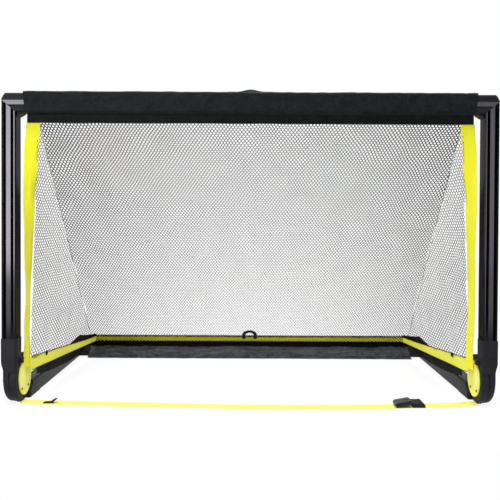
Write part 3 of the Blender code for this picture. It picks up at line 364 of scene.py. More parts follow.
def ribbonMesh(stations, thickness, strips=6, ripple=0.0, seed=0.0):
    # A flat band along stations of (middle, across, width), with a UV map in metres
    thinEdge = 0.55
    bm = bmesh.new()
    layer = bm.loops.layers.uv.new("UVMap")
    rows = []
    run = 0.0
    for i, (middle, across, width) in enumerate(stations):
        before = Vector(stations[max(i - 1, 0)][0])
        after = Vector(stations[min(i + 1, len(stations) - 1)][0])
        if i:
            run += (Vector(middle) - before).length
        side = Vector(across).normalized()
        out = (after - before).cross(side).normalized()
        tops = []
        bottoms = []
        for k in range(strips + 1):
            share = k / strips - 0.5
            lift = ripple * noise.noise(Vector((run * 14, share * 3, seed)))
            point = Vector(middle) + side * width * share + out * lift
            edge = thinEdge if k in (0, strips) else 1.0
            tops.append(bm.verts.new(point + out * thickness / 2 * edge))
            bottoms.append(bm.verts.new(point - out * thickness / 2 * edge))
        rows.append((tops, bottoms, run, width))
    for (topA, lowA, runA, widthA), (topB, lowB, runB, widthB) in zip(rows, rows[1:]):
        for k in range(strips):
            for first, second in ((topA, topB), (lowA, lowB)):
                face = bm.faces.new((first[k], first[k + 1], second[k + 1], second[k]))
                shares = [(k, widthA, runA), (k + 1, widthA, runA), (k + 1, widthB, runB), (k, widthB, runB)]
                for loop, (place, width, along) in zip(face.loops, shares):
                    loop[layer].uv = (place / strips * width, along)
        for k in (0, strips):
            bm.faces.new((topA[k], topB[k], lowB[k], lowA[k]))
    for tops, bottoms, _, _ in (rows[0], rows[-1]):
        bm.faces.new(tops + bottoms[::-1])
    return bm


def addRidge(bm, start, end, side, lift):
    # One shallow ridge of thread between two points
    lower = [bm.verts.new(start + offset) for offset in (-side, lift, side)]
    upper = [bm.verts.new(end + offset) for offset in (-side, lift, side)]
    for k in range(2):
        bm.faces.new((lower[k], lower[k + 1], upper[k + 1], upper[k]))


def zigzag(bm, place, start, end, pitch, reach, radius):
    # Zigzag stitching along a tape; place turns (along, across) into a point and its outward direction
    count = int((end - start) / pitch)
    last = None
    for i in range(count + 1):
        point, out = place(start + (end - start) * i / count, reach * (1 if i % 2 else -1))
        if last is not None:
            addRidge(bm, last, point, (point - last).cross(out).normalized() * radius, out * radius * 1.2)
        last = point


def stitchLine(bm, points, up):
    # Short raised stitches along a seam
    thread = {"length": 0.0026, "gap": 0.0012, "radius": 0.00028}
    arch = arc((0, 0), thread["radius"], 0, 180, 3)
    for start, end in zip(points, points[1:]):
        along = (end - start).normalized()
        side = along.cross(up)
        count = max(1, int((end - start).length / (thread["length"] + thread["gap"])))
        pitch = (end - start).length / count
        for i in range(count):
            a = start + along * (pitch * i + thread["gap"] / 2)
            b = a + along * (pitch - thread["gap"])
            rings = []
            for point, lift in ((a, 0.6), (a.lerp(b, 0.5), 1.6), (b, 0.6)):
                rings.append([bm.verts.new(point + side * x + up * z * lift) for x, z in arch])
            for lower, upper in zip(rings, rings[1:]):
                for k in range(3):
                    bm.faces.new((lower[k], lower[k + 1], upper[k + 1], upper[k]))


# Rails

rail = {
    "postWidth": 0.036, "barWidth": 0.046, "depth": 0.040, "front": 0.0015, "start": 0.1213,
    "ridge": 0.0055, "step": 0.0009, "sunk": 0.0014, "land": 0.011, "edge": 0.0003,
    "mitre": 0.0165, "chamfer": 0.010, "gap": 0.0003, "rim": 0.0022, "plug": 0.0008, "flatArea": 0.0012,
}


def railOutline(width, outer, inner):
    # Wide faces: ridge, channel that deepens towards the middle, flat land, channel and ridge; plain sides
    depth = rail["depth"]
    reach = (width - rail["land"]) / 2
    half = [(rail["ridge"], 0), (reach - rail["step"], rail["sunk"]), (reach, 0)]
    wide = half + [(width - along, sunk) for along, sunk in reversed(half)]
    corners = []
    faces = (
        ((0, 0), (1, 0), (0, 1), wide), ((width, 0), (0, 1), (-1, 0), []),
        ((width, depth), (-1, 0), (0, -1), wide), ((0, depth), (0, -1), (1, 0), []),
    )
    for start, along, inward, face in faces:
        corners.append((*start, inner if start[0] else outer))
        for distance, sunk in face:
            point = [start[k] + along[k] * distance + inward[k] * sunk for k in range(2)]
            corners.append((*point, rail["edge"]))
    return filletPath(corners)


def cutEnd(bm, place, start, end, kept, plug=0):
    # Cuts through start and end, closes the cut and keeps the side where kept lies; a plug is black
    corner, far, inside = (Vector(place(*point, 0)) for point in (start, end, kept))
    depthway = Vector(place(0, 0, 1)) - Vector(place(0, 0, 0))
    normal = (far - corner).cross(depthway).normalized()
    if normal.dot(inside - corner) > 0:
        normal.negate()
    geometry = bm.verts[:] + bm.edges[:] + bm.faces[:]
    result = bmesh.ops.bisect_plane(bm, geom=geometry, plane_co=corner, plane_no=normal, clear_outer=True)
    edges = [item for item in result["geom_cut"] if isinstance(item, bmesh.types.BMEdge)]
    made = bmesh.ops.edgeloop_fill(bm, edges=edges)["faces"]
    if plug:
        bmesh.ops.inset_region(bm, faces=made, thickness=rail["rim"], depth=plug, use_even_offset=False)
        for face in made:
            face.material_index = 1


def addRail(name, bm, body, node):
    # Wide flat faces are shaded flat, so that a mirrored lamp ends at their edges
    obj = addPiece(name, bm, [metal, plastic], body, node, angle=30)
    for face in obj.data.polygons:
        if face.area > rail["flatArea"]:
            face.use_smooth = False


def makeBar(name, place, outer, top, node, body, plug):
    # Crossbar or rear bar, mitred against the rails and chamfered outside; only its land is metal, and its
    # other faces are drawn in matte black plastic as painted shade, standing for the dark reflections of the
    # metal there
    width = rail["barWidth"]
    outline = railOutline(width, 0.005, 0.005)
    bm = loft([[place(x, top - u, v) for u, v in outline] for x in (-outer, outer)])
    middle = Vector(place(0, top - width / 2, 0))
    across = Vector(place(0, 1, 0)) - Vector(place(0, 0, 0))
    # Painted shade: faces off the land take the matte black plastic
    for face in bm.faces:
        onLand = abs((face.calc_center_median() - middle).dot(across)) < rail["land"] / 2
        face.material_index = 0 if onLand else 1
    for side in (-1, 1):
        corner, kept = (side * outer, top - rail["mitre"]), (0, top - width / 2)
        cutEnd(bm, place, corner, (side * (outer - rail["chamfer"]), top), kept, plug)
        cutEnd(bm, place, corner, (side * (outer - rail["postWidth"]), top - width), kept)
    addRail(name, bm, body, node)


def makeSideRail(name, place, outer, top, node, body, side):
    # Post or base rail, cut along the mitre of the bar that it meets
    outline = railOutline(rail["postWidth"], 0.0052, 0.0030)
    start, end = rail["start"], top - rail["gap"]
    bm = loft([[place(side * (outer - u), along, v) for u, v in outline] for along in (start, top)])
    far = (side * (outer - rail["postWidth"]), end - rail["barWidth"])
    cutEnd(bm, place, (side * outer, end - rail["mitre"]), far, (side * outer, start))
    addRail(name, bm, body, node)


def upright(x, along, v):
    return (x, mouthY + rail["front"] + v, along)


def lying(x, along, v):
    return (x, mouthY + along, rail["front"] + v)


makeBar("crossbar extrusion", upright, frameOuter, frameTop, "crossbar", "front_frame", -rail["plug"])  # sunk
makeBar("rear bar extrusion", lying, baseOuter, baseEnd, "rear_bar", "base_frame", rail["plug"])  # raised
for side, word in sides:
    makeSideRail("post extrusion " + word, upright, frameOuter, frameTop, "post_" + word, "front_frame", side)
    makeSideRail("base extrusion " + word, lying, baseOuter, baseEnd, "base_rail_" + word, "base_frame", side)
print("rails made")


# Hinge knuckles

collar = {
    "width": 0.039, "depth": 0.043, "corner": 0.006,
    "stations": (  # height, how far all faces stand in, how far the outer face is waisted
        (0.080, 0.0032, 0.0045), (0.0806, 0.0020, 0.0045), (0.0818, 0.0010, 0.0045), (0.0840, 0.0003, 0.0046),
        (0.0870, 0, 0.0046), (0.0920, 0, 0.0036), (0.0980, 0, 0.0016), (0.1040, 0, 0.0003), (0.1080, 0, 0),
        (0.1616, 0, 0), (0.1624, 0.0002, 0), (0.1629, 0.0007, 0), (0.163, 0.0011, 0),
    ),
    "pocket": {"width": 0.0363, "gap": 0.0003, "near": 0.0012, "far": 0.0418, "corner": 0.005},
    "pocketStart": 0.121, "pocketEnd": 0.180,
}


def collarBlock(place, outer, waisted):
    rings = []
    for along, inset, waist in collar["stations"]:
        low, high = outer - collar["width"] + inset, outer - inset - (waist if waisted else 0)
        near, far = inset, collar["depth"] - inset
        corners = ((low, near), (high, near), (high, far), (low, far))
        section = filletPath([(a, b, collar["corner"] - inset) for a, b in corners])
        rings.append([place(a, b, along) for a, b in section])
    return loft(rings)


def pocketBlock(place, outer):
    # The room in a collar for the rail that it takes
    size = collar["pocket"]
    low, high = (outer - size["width"], size["near"]), (outer + size["gap"], size["far"])
    return roundedBlock(place, low, high, size["corner"], collar["pocketStart"], collar["pocketEnd"])


def disc(low, high, radius, steps):
    return lathe([(low, 0), (low, radius), (high, radius), (high, 0)], hingeY, hingeZ, steps)


def joinBlocks(start, steps, side):
    # Builds a moulding from blocks: each step joins or takes away one shape
    blank = finish("moulding blank", mirrorSide(start, side), plastic)
    tools = []
    for operation, shape in steps:
        tools.append(finish("moulding tool", mirrorSide(shape, side), plastic))
        modifier = blank.modifiers.new("shape", "BOOLEAN")
        modifier.operation = operation
        modifier.object = tools[-1]
        modifier.solver = "EXACT"
    graph = bpy.context.evaluated_depsgraph_get()
    graph.update()
    bm = bmesh.new()
    bm.from_mesh(blank.evaluated_get(graph).to_mesh())
    for item in [blank, *tools]:
        bpy.data.objects.remove(item)
    bmesh.ops.remove_doubles(bm, verts=bm.verts, dist=0.000002)
    for face in bm.faces:
        face.material_index = 0
    return bm


def makeUpperKnuckle(side, word):
    # Collar for the post above, domed cheek of the hinge below
    cheek = {
        "face": 0.5796, "outer": 0.5982, "radius": 0.059, "dome": 0.0135, "drop": 0.018,
        "nut": 0.0081, "nutFace": 0.5861, "button": 0.0068,
    }
    face, outer, nut = cheek["face"], cheek["outer"], cheek["nut"]
    profile = [(cheek["nutFace"], 0), (cheek["nutFace"], nut), (face, nut), (face, cheek["radius"])]
    for across, along in arc((0, 0), 1, 90, 0, 16):
        profile.append((outer - cheek["dome"] * (1 - across), cheek["radius"] - cheek["drop"] * (1 - along)))
    profile.append((outer, 0))
    hole = [(0.590, 0), (0.590, cheek["button"]), (0.61, cheek["button"]), (0.61, 0)]
    near, far, seam, top = 0.0007, 0.030, 0.5797, 0.5952
    neck = filletPath([(seam, near, 0), (top, near, 0.006), (top, far, 0.002), (seam, far, 0)])

    def place(a, b, along):
        return (a, mouthY + b, along)

    steps = [
        ("UNION", lathe(profile, hingeY, hingeZ)),
        ("DIFFERENCE", disc(0.551, 0.5793, 0.061, 90)),
        ("UNION", loft([[place(a, b, along) for a, b in neck] for along in (0.0575, 0.095)])),
        ("DIFFERENCE", pocketBlock(place, frameOuter)),
        ("DIFFERENCE", lathe(hole, mouthY + railMiddle, buttonZ, 48)),
    ]
    bm = joinBlocks(collarBlock(place, 0.600, True), steps, side)
    addPiece("upper knuckle " + word, bm, plastic, "front_frame", "same", angle=40)


def makeLowerKnuckle(side, word):
    # Inner disc of the hinge, socket for the side rail behind it, lug for the ground strap below
    wheel = {"inner": 0.5615, "seam": 0.578, "radius": 0.060, "rim": 0.004}
    head = {"hole": 0.0043, "radius": 0.0091, "sunk": 0.005}  # of the hinge bolt
    inner, seam, rim, seat = wheel["inner"], wheel["seam"], wheel["rim"], wheel["inner"] + head["sunk"]
    profile = [(seam, head["hole"]), (seam, wheel["radius"])]
    profile += arc((inner + rim, wheel["radius"] - rim), rim, 90, 180, 8)
    profile += [(inner, head["radius"]), (seat, head["radius"]), (seat, head["hole"]), (seam, head["hole"])]

    def place(a, b, along):
        return (a, mouthY + along, b - 0.0004)

    def level(a, b, along):
        return (a, mouthY + b, along)

    steps = [
        ("DIFFERENCE", disc(0.5455, 0.5655, 0.0448, 80)),
        ("UNION", lathe(profile, hingeY, hingeZ)),
        ("UNION", roundedBlock(level, (0.5575, 0.044), (0.574, 0.064), 0, -0.0012, 0.0012)),  # lug
        ("DIFFERENCE", disc(0.5783, 0.61, 0.060, 90)),
        ("DIFFERENCE", pocketBlock(place, baseOuter)),
        ("DIFFERENCE", roundedBlock(level, (0.53, -0.02), (0.62, 0.17), 0, -0.02, 0)),  # flat foot
    ]
    bm = joinBlocks(collarBlock(place, 0.5895, False), steps, side)
    addPiece("lower knuckle " + word, bm, plastic, "base_frame", "same", angle=40)


def makeCap(side, word):
    # Dished yellow disc that covers the hinge bolt, with a raised rim, and its two screws
    cap = {"back": 0.5612, "dish": 0.0022, "screwGap": 0.0003, "across": 0.0235, "below": 0.026}
    profile = [  # height over its back, radius
        (0, 0), (0, 0.0439), (0.0006, 0.0445), (0.0032, 0.0445), (0.0040, 0.0441), (0.0042, 0.0433),
        (0.0042, 0.0417), (0.0038, 0.0408), (0.0026, 0.0400), (cap["dish"], 0.0385), (cap["dish"], 0.0130),
        (0.0026, 0.0118), (0.0026, 0),
    ]
    bm = lathe([(cap["back"] - height, radius) for height, radius in profile], hingeY, hingeZ)
    name, bm = "yellow disc cap " + word, mirrorSide(bm, side)
    addPiece(name, bm, capYellow, "base_frame", "disc_cap_" + word, angle=25)
    head = [
        (0, 0), (0, 0.0034), (0.0005, 0.0034), (0.0011, 0.0028), (0.0013, 0.0018), (0.0013, 0.0012),
        (0.0004, 0.0011), (0.0004, 0),
    ]
    face = cap["back"] - cap["dish"] - cap["screwGap"]
    for number, offset in (("1", -cap["across"]), ("2", cap["across"])):
        turned = [(face - height, radius) for height, radius in head]
        bm = lathe(turned, hingeY + offset, hingeZ - cap["below"], 32)
        name = "cap screw " + word + " " + number
        addPiece(name, mirrorSide(bm, side), screwBlack, "base_frame", "same", angle=35)


def makeButton(side, word):
    # Push button in the collar's outer wall, with a soft edge and a shallow dish
    profile = [
        (0.5938, 0), (0.5938, 0.009), (0.5958, 0.009), (0.5958, 0.0065), (0.6026, 0.0065), (0.6031, 0.0063),
        (0.6035, 0.0058), (0.6036, 0.0050), (0.6034, 0.0030), (0.6032, 0),
    ]
    bm = mirrorSide(lathe(profile, mouthY + railMiddle, buttonZ, 48), side)
    addPiece("push button " + word, bm, plastic, "button_" + word, "same", angle=30)


for side, word in sides:
    makeUpperKnuckle(side, word)
    makeLowerKnuckle(side, word)
    makeCap(side, word)
    makeButton(side, word)
print("knuckles made")


# Cloth round the bars

def clothMesh(path, halfLength, columns, wrinkle, thickness):
    # A strip of cloth whose section follows path, with wrinkles; path points are (y, z, looseness)
    bm = bmesh.new()
    layer = bm.loops.layers.uv.new("UVMap")
    run = [0.0]
    for (ya, za, _), (yb, zb, _) in zip(path, path[1:]):
        run.append(run[-1] + math.hypot(yb - ya, zb - za))
    normals = []
    for i in range(len(path)):
        before, after = path[max(i - 1, 0)], path[min(i + 1, len(path) - 1)]
        along = Vector((0, after[0] - before[0], after[1] - before[1])).normalized()
        normals.append(Vector((0, -along.z, along.y)))
    outer, inner = [], []
    for column in range(columns + 1):
        share = column / columns * 2 - 1
        top, low = [], []
        for i, (y, z, loose) in enumerate(path):
            x = share * halfLength(z)
            lift = loose * wrinkle(x, run[i])
            point = Vector((x, mouthY + y, z))
            top.append(bm.verts.new(point + normals[i] * lift))
            low.append(bm.verts.new(point + normals[i] * (lift - thickness)))
        outer.append(top)
        inner.append(low)
    last = len(path) - 1
    for c in range(columns):
        for i in range(last):
            for rows, flip in ((outer, False), (inner, True)):
                corners = [rows[c][i], rows[c + 1][i], rows[c + 1][i + 1], rows[c][i + 1]]
                face = bm.faces.new(corners[::-1] if flip else corners)
                for loop in face.loops:
                    level = i + 1 if loop.vert in (rows[c][i + 1], rows[c + 1][i + 1]) else i
                    loop[layer].uv = (loop.vert.co.x, run[level])
        for i in (0, last):
            bm.faces.new((outer[c][i], outer[c + 1][i], inner[c + 1][i], inner[c][i]))
    for c in (0, columns):
        for i in range(last):
            bm.faces.new((outer[c][i], outer[c][i + 1], inner[c][i + 1], inner[c][i]))
    return bm, run[-1]


def straight(start, end, parts, loose):
    # Points between the two ends of a stretch of cloth
    (y, z), (farY, farZ) = start, end
    return [(y + (farY - y) * i / parts, z + (farZ - z) * i / parts, loose) for i in range(1, parts)]


def bend(centre, radius, start, end, steps, loose):
    return [(*point, loose) for point in arc(centre, radius, start, end, steps)]


def makeCrossbarSleeve():
    # Black nylon laced tight round the crossbar, its two edges sewn together as a hem below
    sleeve = {
        "top": 0.7588, "bottom": 0.7075, "back": 0.043, "over": 0.0055, "under": 0.005, "cloth": 0.0012,
        "half": 0.5455, "taper": 0.0045, "columns": 300, "hem": (0.7035, 0.7000, 0.6950, 0.6900, 0.6852),
        "seams": (0.7025, 0.6882), "seamHalf": 0.5395, "seamOut": 0.0019,
    }
    low, high, back = sleeve["bottom"], sleeve["top"], sleeve["back"]
    over, under = sleeve["over"], sleeve["under"]
    path = [(railMiddle - 0.0015, z, 0.35) for z in reversed(sleeve["hem"])]
    path += [(railMiddle - 0.0022, 0.7056, 0.2), (railMiddle - 0.0045, 0.7072, 0.2), (0.0110, low, 0.4)]
    path += bend((under, low + under), under, 270, 180, 4, 0.5)
    path += straight((0, low + under), (0, high - over), 9, 1.0)
    path += bend((over, high - over), over, 180, 90, 5, 0.7)
    path += straight((over, high), (back - over, high), 6, 0.8)
    path += bend((back - over, high - over), over, 90, 0, 5, 0.7)
    path += straight((back, high - over), (back, low + under), 6, 1.0)
    path += bend((back - under, low + under), under, 0, -90, 4, 0.5)
    path += [(0.0320, low, 0.4), (railMiddle + 0.0045, 0.7072, 0.2), (railMiddle + 0.0022, 0.7056, 0.2)]
    path += [(railMiddle + 0.0015, z, 0.35) for z in sleeve["hem"]]

    def halfLength(z):
        return sleeve["half"] - sleeve["taper"] * min(1.0, (high - z) / 0.05)

    def wrinkle(x, run):
        ends = min(1.0, (0.545 - abs(x)) / 0.05)
        slow = softNoise(x, run, (0.11, 0.05), 3.1)
        fine = softNoise(x + 0.3 * run, run, (0.022, 0.03), 7.7)
        gather = math.exp(-((abs(x) - 0.52) / 0.02) ** 2) * softNoise(x, run, (0.006, 0.08), 1.3)
        return 0.0008 + 0.0013 * slow + 0.0011 * fine + 0.0010 * gather + 0.0002 * ends

    bm, girth = clothMesh(path, halfLength, sleeve["columns"], wrinkle, sleeve["cloth"])
    obj = addPiece("crossbar sleeve", bm, nylon, "front_frame", "same", angle=60)
    stitches = bmesh.new()
    for z in sleeve["seams"]:
        for way in (-1, 1):
            y = mouthY + railMiddle + way * sleeve["seamOut"]
            line = [Vector((sleeve["seamHalf"] * (i / 20 - 1), y, z)) for i in range(41)]
            stitchLine(stitches, line, Vector((0, way, 0)))
    seam = addPiece("crossbar sleeve stitches", stitches, cordBlack, "front_frame", angle=60)
    return girth


def makeRearSleeve():
    # Dark grey nylon round the rear bar, its two edges standing up as a seam
    sleeve = {
        "front": 0.601, "back": 0.650, "floor": 0.0002, "top": 0.043, "fold": 0.005, "cloth": 0.0011,
        "half": 0.517, "columns": 220, "seam": (0.0560, 0.0520, 0.0480),
    }
    front, back, floor, top, fold = (sleeve[key] for key in ("front", "back", "floor", "top", "fold"))
    path = [(0.6085, z, 0.2) for z in sleeve["seam"]] + [(0.6088, 0.0445, 0.2)]
    path += straight((0.6095, top), (back - fold, top), 5, 0.7)
    path += bend((back - fold, top - fold), fold, 90, 0, 4, 0.6)
    path += straight((back, 0.0382), (back, floor + fold), 5, 0.8)
    path += bend((back - fold, floor + fold), fold, 360, 270, 4, 0.3)
    path += straight((back - fold, floor), (front + fold, floor), 5, 0.0)
    path += bend((front + fold, floor + fold), fold, 270, 180, 4, 0.0)
    path += straight((front, fold), (front, 0.0400), 5, 0.4)
    path += [(0.6012, 0.0400, 0.3), (0.6020, 0.0432, 0.2), (0.6040, 0.0450, 0.2)]
    path += [(0.6045, z, 0.2) for z in reversed(sleeve["seam"])]

    def wrinkle(x, run):
        slow = softNoise(x, run, (0.09, 0.05), 5.1)
        fine = softNoise(x + 0.4 * run, run, (0.02, 0.03), 2.7)
        return 0.0006 + 0.001 * slow + 0.0005 * fine

    bm, girth = clothMesh(path, lambda z: sleeve["half"], sleeve["columns"], wrinkle, sleeve["cloth"])
    obj = addPiece("rear sleeve", bm, greyNylonPaintedLight, "base_frame", "same", angle=60)
    return girth


def makeRearFlap():
    # Loose flap in front of the rear bar: it falls to the floor in creases that run along it
    flap = {
        "foot": 0.001, "bend": 0.0385, "rows": 22, "foldTop": 0.0330, "foldHeight": 0.0120, "foldOut": 0.0185,
        "half": 0.5050, "flare": 0.0175, "cloth": 0.0009, "columns": 300, "black": 0.0365, "floor": 0.0004,
    }
    path = []
    for i in range(flap["rows"], -1, -1):
        # Half way down it turns outwards in a soft fold
        down = i / flap["rows"]
        z = flap["bend"] + (flap["foot"] - flap["bend"]) * down
        share = limit((flap["foldTop"] - z) / flap["foldHeight"])
        path.append((0.5982 - 0.0045 * down - flap["foldOut"] * ease(share), z, 0.5 + 0.025 * i))
    path += [(0.6004, 0.0425, 0.4), (0.6020, 0.0470, 0.2), (0.6030, 0.0520, 0.1), (0.6034, 0.0565, 0.0)]

    def wrinkle(x, run):
        fall = 0.0675 - run  # counted from the seam
        slow = softNoise(x, fall, (0.09, 0.05), 9.4)
        fold = softNoise(x + 1.5 * fall, fall, (0.045, 0.0085), 4.2)
        sharp = abs(softNoise(x - 2.5 * fall, fall, (0.03, 0.012), 1.9))
        return min(1.0, fall / 0.03) * (0.0045 * slow + 0.0070 * fold + 0.0060 * sharp) + 0.0010

    def halfLength(z):
        return flap["half"] + flap["flare"] * limit((0.045 - z) / 0.045)

    bm, fall = clothMesh(path, halfLength, flap["columns"], wrinkle, flap["cloth"])
    for vert in bm.verts:
        vert.co.z = max(vert.co.z, flap["floor"])
    for face in bm.faces:
        # Its doubled upper edge is drawn near black down to a wandering line, partly as painted shade where
        # the cloth turns upright
        middle = face.calc_center_median()
        paintedShadeLine = flap["black"] + 0.004 * softNoise(middle.x, 0, (0.08, 1), 3.3)
        face.material_index = 1 if middle.z > paintedShadeLine else 0
    obj = addPiece("rear flap", bm, [greyNylonPaintedLight, hemAndShadeNylon], "base_frame", angle=60)
    return fall


def makeRearTapes():
    # Black hem band with the yellow webbing above it, laced to the net with black thread; the band's deep
    # black stands partly for the shade on the rear sleeve's upright front, as painted shade
    band = {"half": 0.5155, "depth": 0.5992, "z": 0.0447, "width": 0.0165, "thick": 0.0010}
    tape = {"half": 0.505, "depth": 0.6008, "z": 0.0602, "width": 0.0157, "thick": 0.0013}
    lacing = {
        "half": 0.500, "depth": 0.5998,
        "rows": (  # height, reach, pitch and radius of each row of zigzag
            (0.0546, 0.0022, 0.0056, 0.0011), (0.0596, 0.0022, 0.0056, 0.0010),
            (0.0646, 0.0022, 0.0056, 0.0011), (0.0693, 0.0026, 0.0042, 0.0019),
        ),
    }

    def level(size, across):
        spots = [(size["half"] * (i / 30 - 1), mouthY + size["depth"], size["z"]) for i in range(61)]
        return [(spot, across, size["width"]) for spot in spots]

    # Painted shade, in part: the near-black band over the upright front of the rear sleeve
    bm = ribbonMesh(level(band, (0, -0.15, 1)), band["thick"], strips=4, ripple=0.0010, seed=2.0)
    addPiece("rear hem and shade band", bm, hemAndShadeNylon, "base_frame")
    bm = ribbonMesh(level(tape, (0, 0, 1)), tape["thick"], strips=4, ripple=0.0006, seed=5.0)
    addPiece("rear tape", bm, yellowTape, "base_frame", "same")
    bm = bmesh.new()
    for middle, reach, pitch, radius in lacing["rows"]:
        def place(along, across, middle=middle):
            return Vector((along, mouthY + lacing["depth"], middle + across)), Vector((0, -1, 0))
        zigzag(bm, place, -lacing["half"], lacing["half"], pitch, reach, radius)
    addPiece("rear lacing", bm, cordBlack, "base_frame", angle=0)


sleeveGirth = makeCrossbarSleeve()
rearGirth = makeRearSleeve()
flapFall = makeRearFlap()
makeRearTapes()
print("sleeves made", round(sleeveGirth, 4), round(rearGirth, 4), round(flapFall, 4))


# Tapes along the nets

tapeThickness = 0.0013


def smoothBetween(table, z):
    # Values at z from a table of (z, value), eased between its rows
    for (za, a), (zb, b) in zip(table, table[1:]):
        if za >= z >= zb:
            return a + (b - a) * ease((za - z) / (za - zb))
    return table[-1][1]


def makeFrontTape(side, word):
    # Yellow webbing from the sleeve's hem to the knuckle, turning on its way down; tables are (z, value)
    tape = {
        "top": 0.6848, "foot": 0.0822, "turns": [(0.685, 0), (0.60, 16), (0.498, 50), (0.36, 70)],
        "lowTurns": {
            "left": [(0.25, 86), (0.16, 84), (0.11, 70), (0.082, 62)],
            "right": [(0.25, 70), (0.15, 72), (0.082, 64)],
        },
        "across": [(0.685, 0.5270), (0.60, 0.5335), (0.498, 0.5395), (0.25, 0.5475)],
        "footAcross": {"left": 0.5555, "right": 0.5500},
        "depth": [(0.685, 0.0215), (0.498, 0.030), (0.25, 0.046), (0.082, 0.062)],
        "widths": [(0.685, 0.034), (0.60, 0.032), (0.15, 0.029), (0.11, 0.026), (0.082, 0.022)],
    }
    foot = tape["footAcross"][word]
    turns = tape["turns"] + tape["lowTurns"][word]
    across = tape["across"] + [(0.15, foot - 0.003), (0.082, foot)]
    stations = []
    for i in range(81):
        z = tape["top"] - (tape["top"] - tape["foot"]) * i / 80
        turn = math.radians(smoothBetween(turns, z))
        middle = (side * smoothBetween(across, z), mouthY + smoothBetween(tape["depth"], z), z)
        way = (side * math.cos(turn), -math.sin(turn), 0)
        stations.append((middle, way, smoothBetween(tape["widths"], z)))
    bm = ribbonMesh(stations, tapeThickness, strips=8, ripple=0.0016, seed=3.0 + side)
    addPiece("front tape " + word, bm, yellowTape, "front_frame", "same")


def tapeTop(share):
    # Half width, depth, height of the top edge and width of the bottom tape; it turns in at its rear end
    turnIn = max(0.0, (share - 0.8) / 0.2) ** 2
    top = 0.1065 - 0.0445 * share + 0.0065 * turnIn
    return 0.549 - 0.036 * share - 0.014 * turnIn, 0.070 + 0.527 * share, top, 0.034 - 0.018 * share


def makeBottomTape(side, word):
    # Yellow webbing on edge along the foot of the side net, laced at both edges
    stations = []
    for i in range(61):
        x, y, top, width = tapeTop(i / 60)
        stations.append(((side * x, mouthY + y, top - width / 2), (0, 0, 1), width))
    bm = ribbonMesh(stations, tapeThickness, strips=6, ripple=0.0014, seed=8.0 + side)
    addPiece("bottom tape " + word, bm, yellowTape, "base_frame", "same")
    thread = {"out": 0.0012, "start": 0.01, "end": 0.99, "pitch": 0.0085, "reach": 0.0013, "radius": 0.0008}
    bm = bmesh.new()
    for lower in (0, 1):
        def place(along, across, lower=lower):
            x, y, top, width = tapeTop(along)
            z = top - width * lower + across + 0.0006 - 0.001 * lower
            return Vector((side * (x - thread["out"]), mouthY + y, z)), Vector((-side, 0, 0))
        zigzag(bm, place, thread["start"], thread["end"], thread["pitch"], thread["reach"], thread["radius"])
    addPiece("bottom lacing " + word, bm, cordBlack, "base_frame", angle=0)


def makeBottomHem(side, word):
    # Black hem below the bottom tape, down to the side rail
    hem = {"start": 0.09, "overlap": 0.004, "out": 0.0013, "ends": 0.010, "belly": 0.020, "thick": 0.0009}
    stations = []
    for i in range(61):
        share = hem["start"] + (1 - hem["start"]) * i / 60
        x, y, top, width = tapeTop(share)
        drop = hem["ends"] + hem["belly"] * math.sin(math.pi * min(1.0, share * 1.15)) ** 0.5
        z = top - width + hem["overlap"] - drop / 2
        stations.append(((side * (x + hem["out"]), mouthY + y, z), (0, 0, 1), drop))
    bm = ribbonMesh(stations, hem["thick"], strips=4, ripple=0.0016, seed=5.0 + side)
    addPiece("bottom hem " + word, bm, hemAndShadeNylon, "base_frame")


def makeCornerPatch(side, word):
    # Black nylon patch that reinforces the rear end of the bottom tape
    patch = {"start": 0.55, "peak": 0.45, "rise": 0.022, "fall": 0.62, "in": 0.0012, "lap": 0.001}
    bm = bmesh.new()
    layer = bm.loops.layers.uv.new("UVMap")
    bmesh.ops.create_grid(bm, x_segments=24, y_segments=4, size=0.5)
    for vert in bm.verts:
        share, level = vert.co.x + 0.5, vert.co.y + 0.5
        x, y, top, _ = tapeTop(patch["start"] + (1 - patch["start"]) * share)
        before, after = share / patch["peak"], (share - patch["peak"]) / (1 - patch["peak"])
        rise = patch["rise"] * (before if before < 1 else 1 - patch["fall"] * after)
        ripple = 0.0008 * softNoise(y, 0, (0.03, 1), 2.0)
        vert.co = (x - patch["in"] + ripple, mouthY + y, top - patch["lap"] + rise * level)
    for face in bm.faces:
        for loop in face.loops:
            loop[layer].uv = (loop.vert.co.y - mouthY, loop.vert.co.z)
    bmesh.ops.remove_doubles(bm, verts=bm.verts, dist=0.000005)
    bmesh.ops.solidify(bm, geom=bm.faces[:], thickness=0)  # doubled, its two layers flat on each other
    addPiece("corner patch " + word, mirrorSide(bm, side), nylon, "base_frame", "same")


def makeHemButton(side, word):
    # Small black dome that fixes the net to the bottom tape
    button = {"share": 0.110 / 0.527, "radius": 0.007, "dome": 0.0028, "spread": 2.2, "below": 0.002}
    x, y, top, _ = tapeTop(button["share"])
    face = x - 0.00155
    rim = button["radius"]
    profile = [(face, 0), (face, rim - 0.0002), (face - 0.0004, rim), (face - 0.0012, rim)]
    for a, b in arc((face - 0.0012, 0), button["dome"], 90, 180, 4)[1:4]:
        profile.append((a, b * button["spread"]))
    profile.append((face - 0.0012 - button["dome"], 0))
    bm = mirrorSide(lathe(profile, mouthY + y, top - button["below"], 32), side)
    addPiece("hem button " + word, bm, plastic, "base_frame", "same")


for side, word in sides:
    makeFrontTape(side, word)
    makeBottomHem(side, word)
    makeBottomTape(side, word)
    makeCornerPatch(side, word)
    makeHemButton(side, word)
print("tapes made")


# Net: hexagonal meshes of thin cord, each strand a shallow ridge

net = {
    "across": 0.0084, "down": 0.0070, "knot": 0.0012, "wander": 0.0042, "wanderScale": 15,
    "sideWidth": 0.0021, "sideStretch": 2.0, "foldZ": 0.072, "foldedTo": 0.06,
}


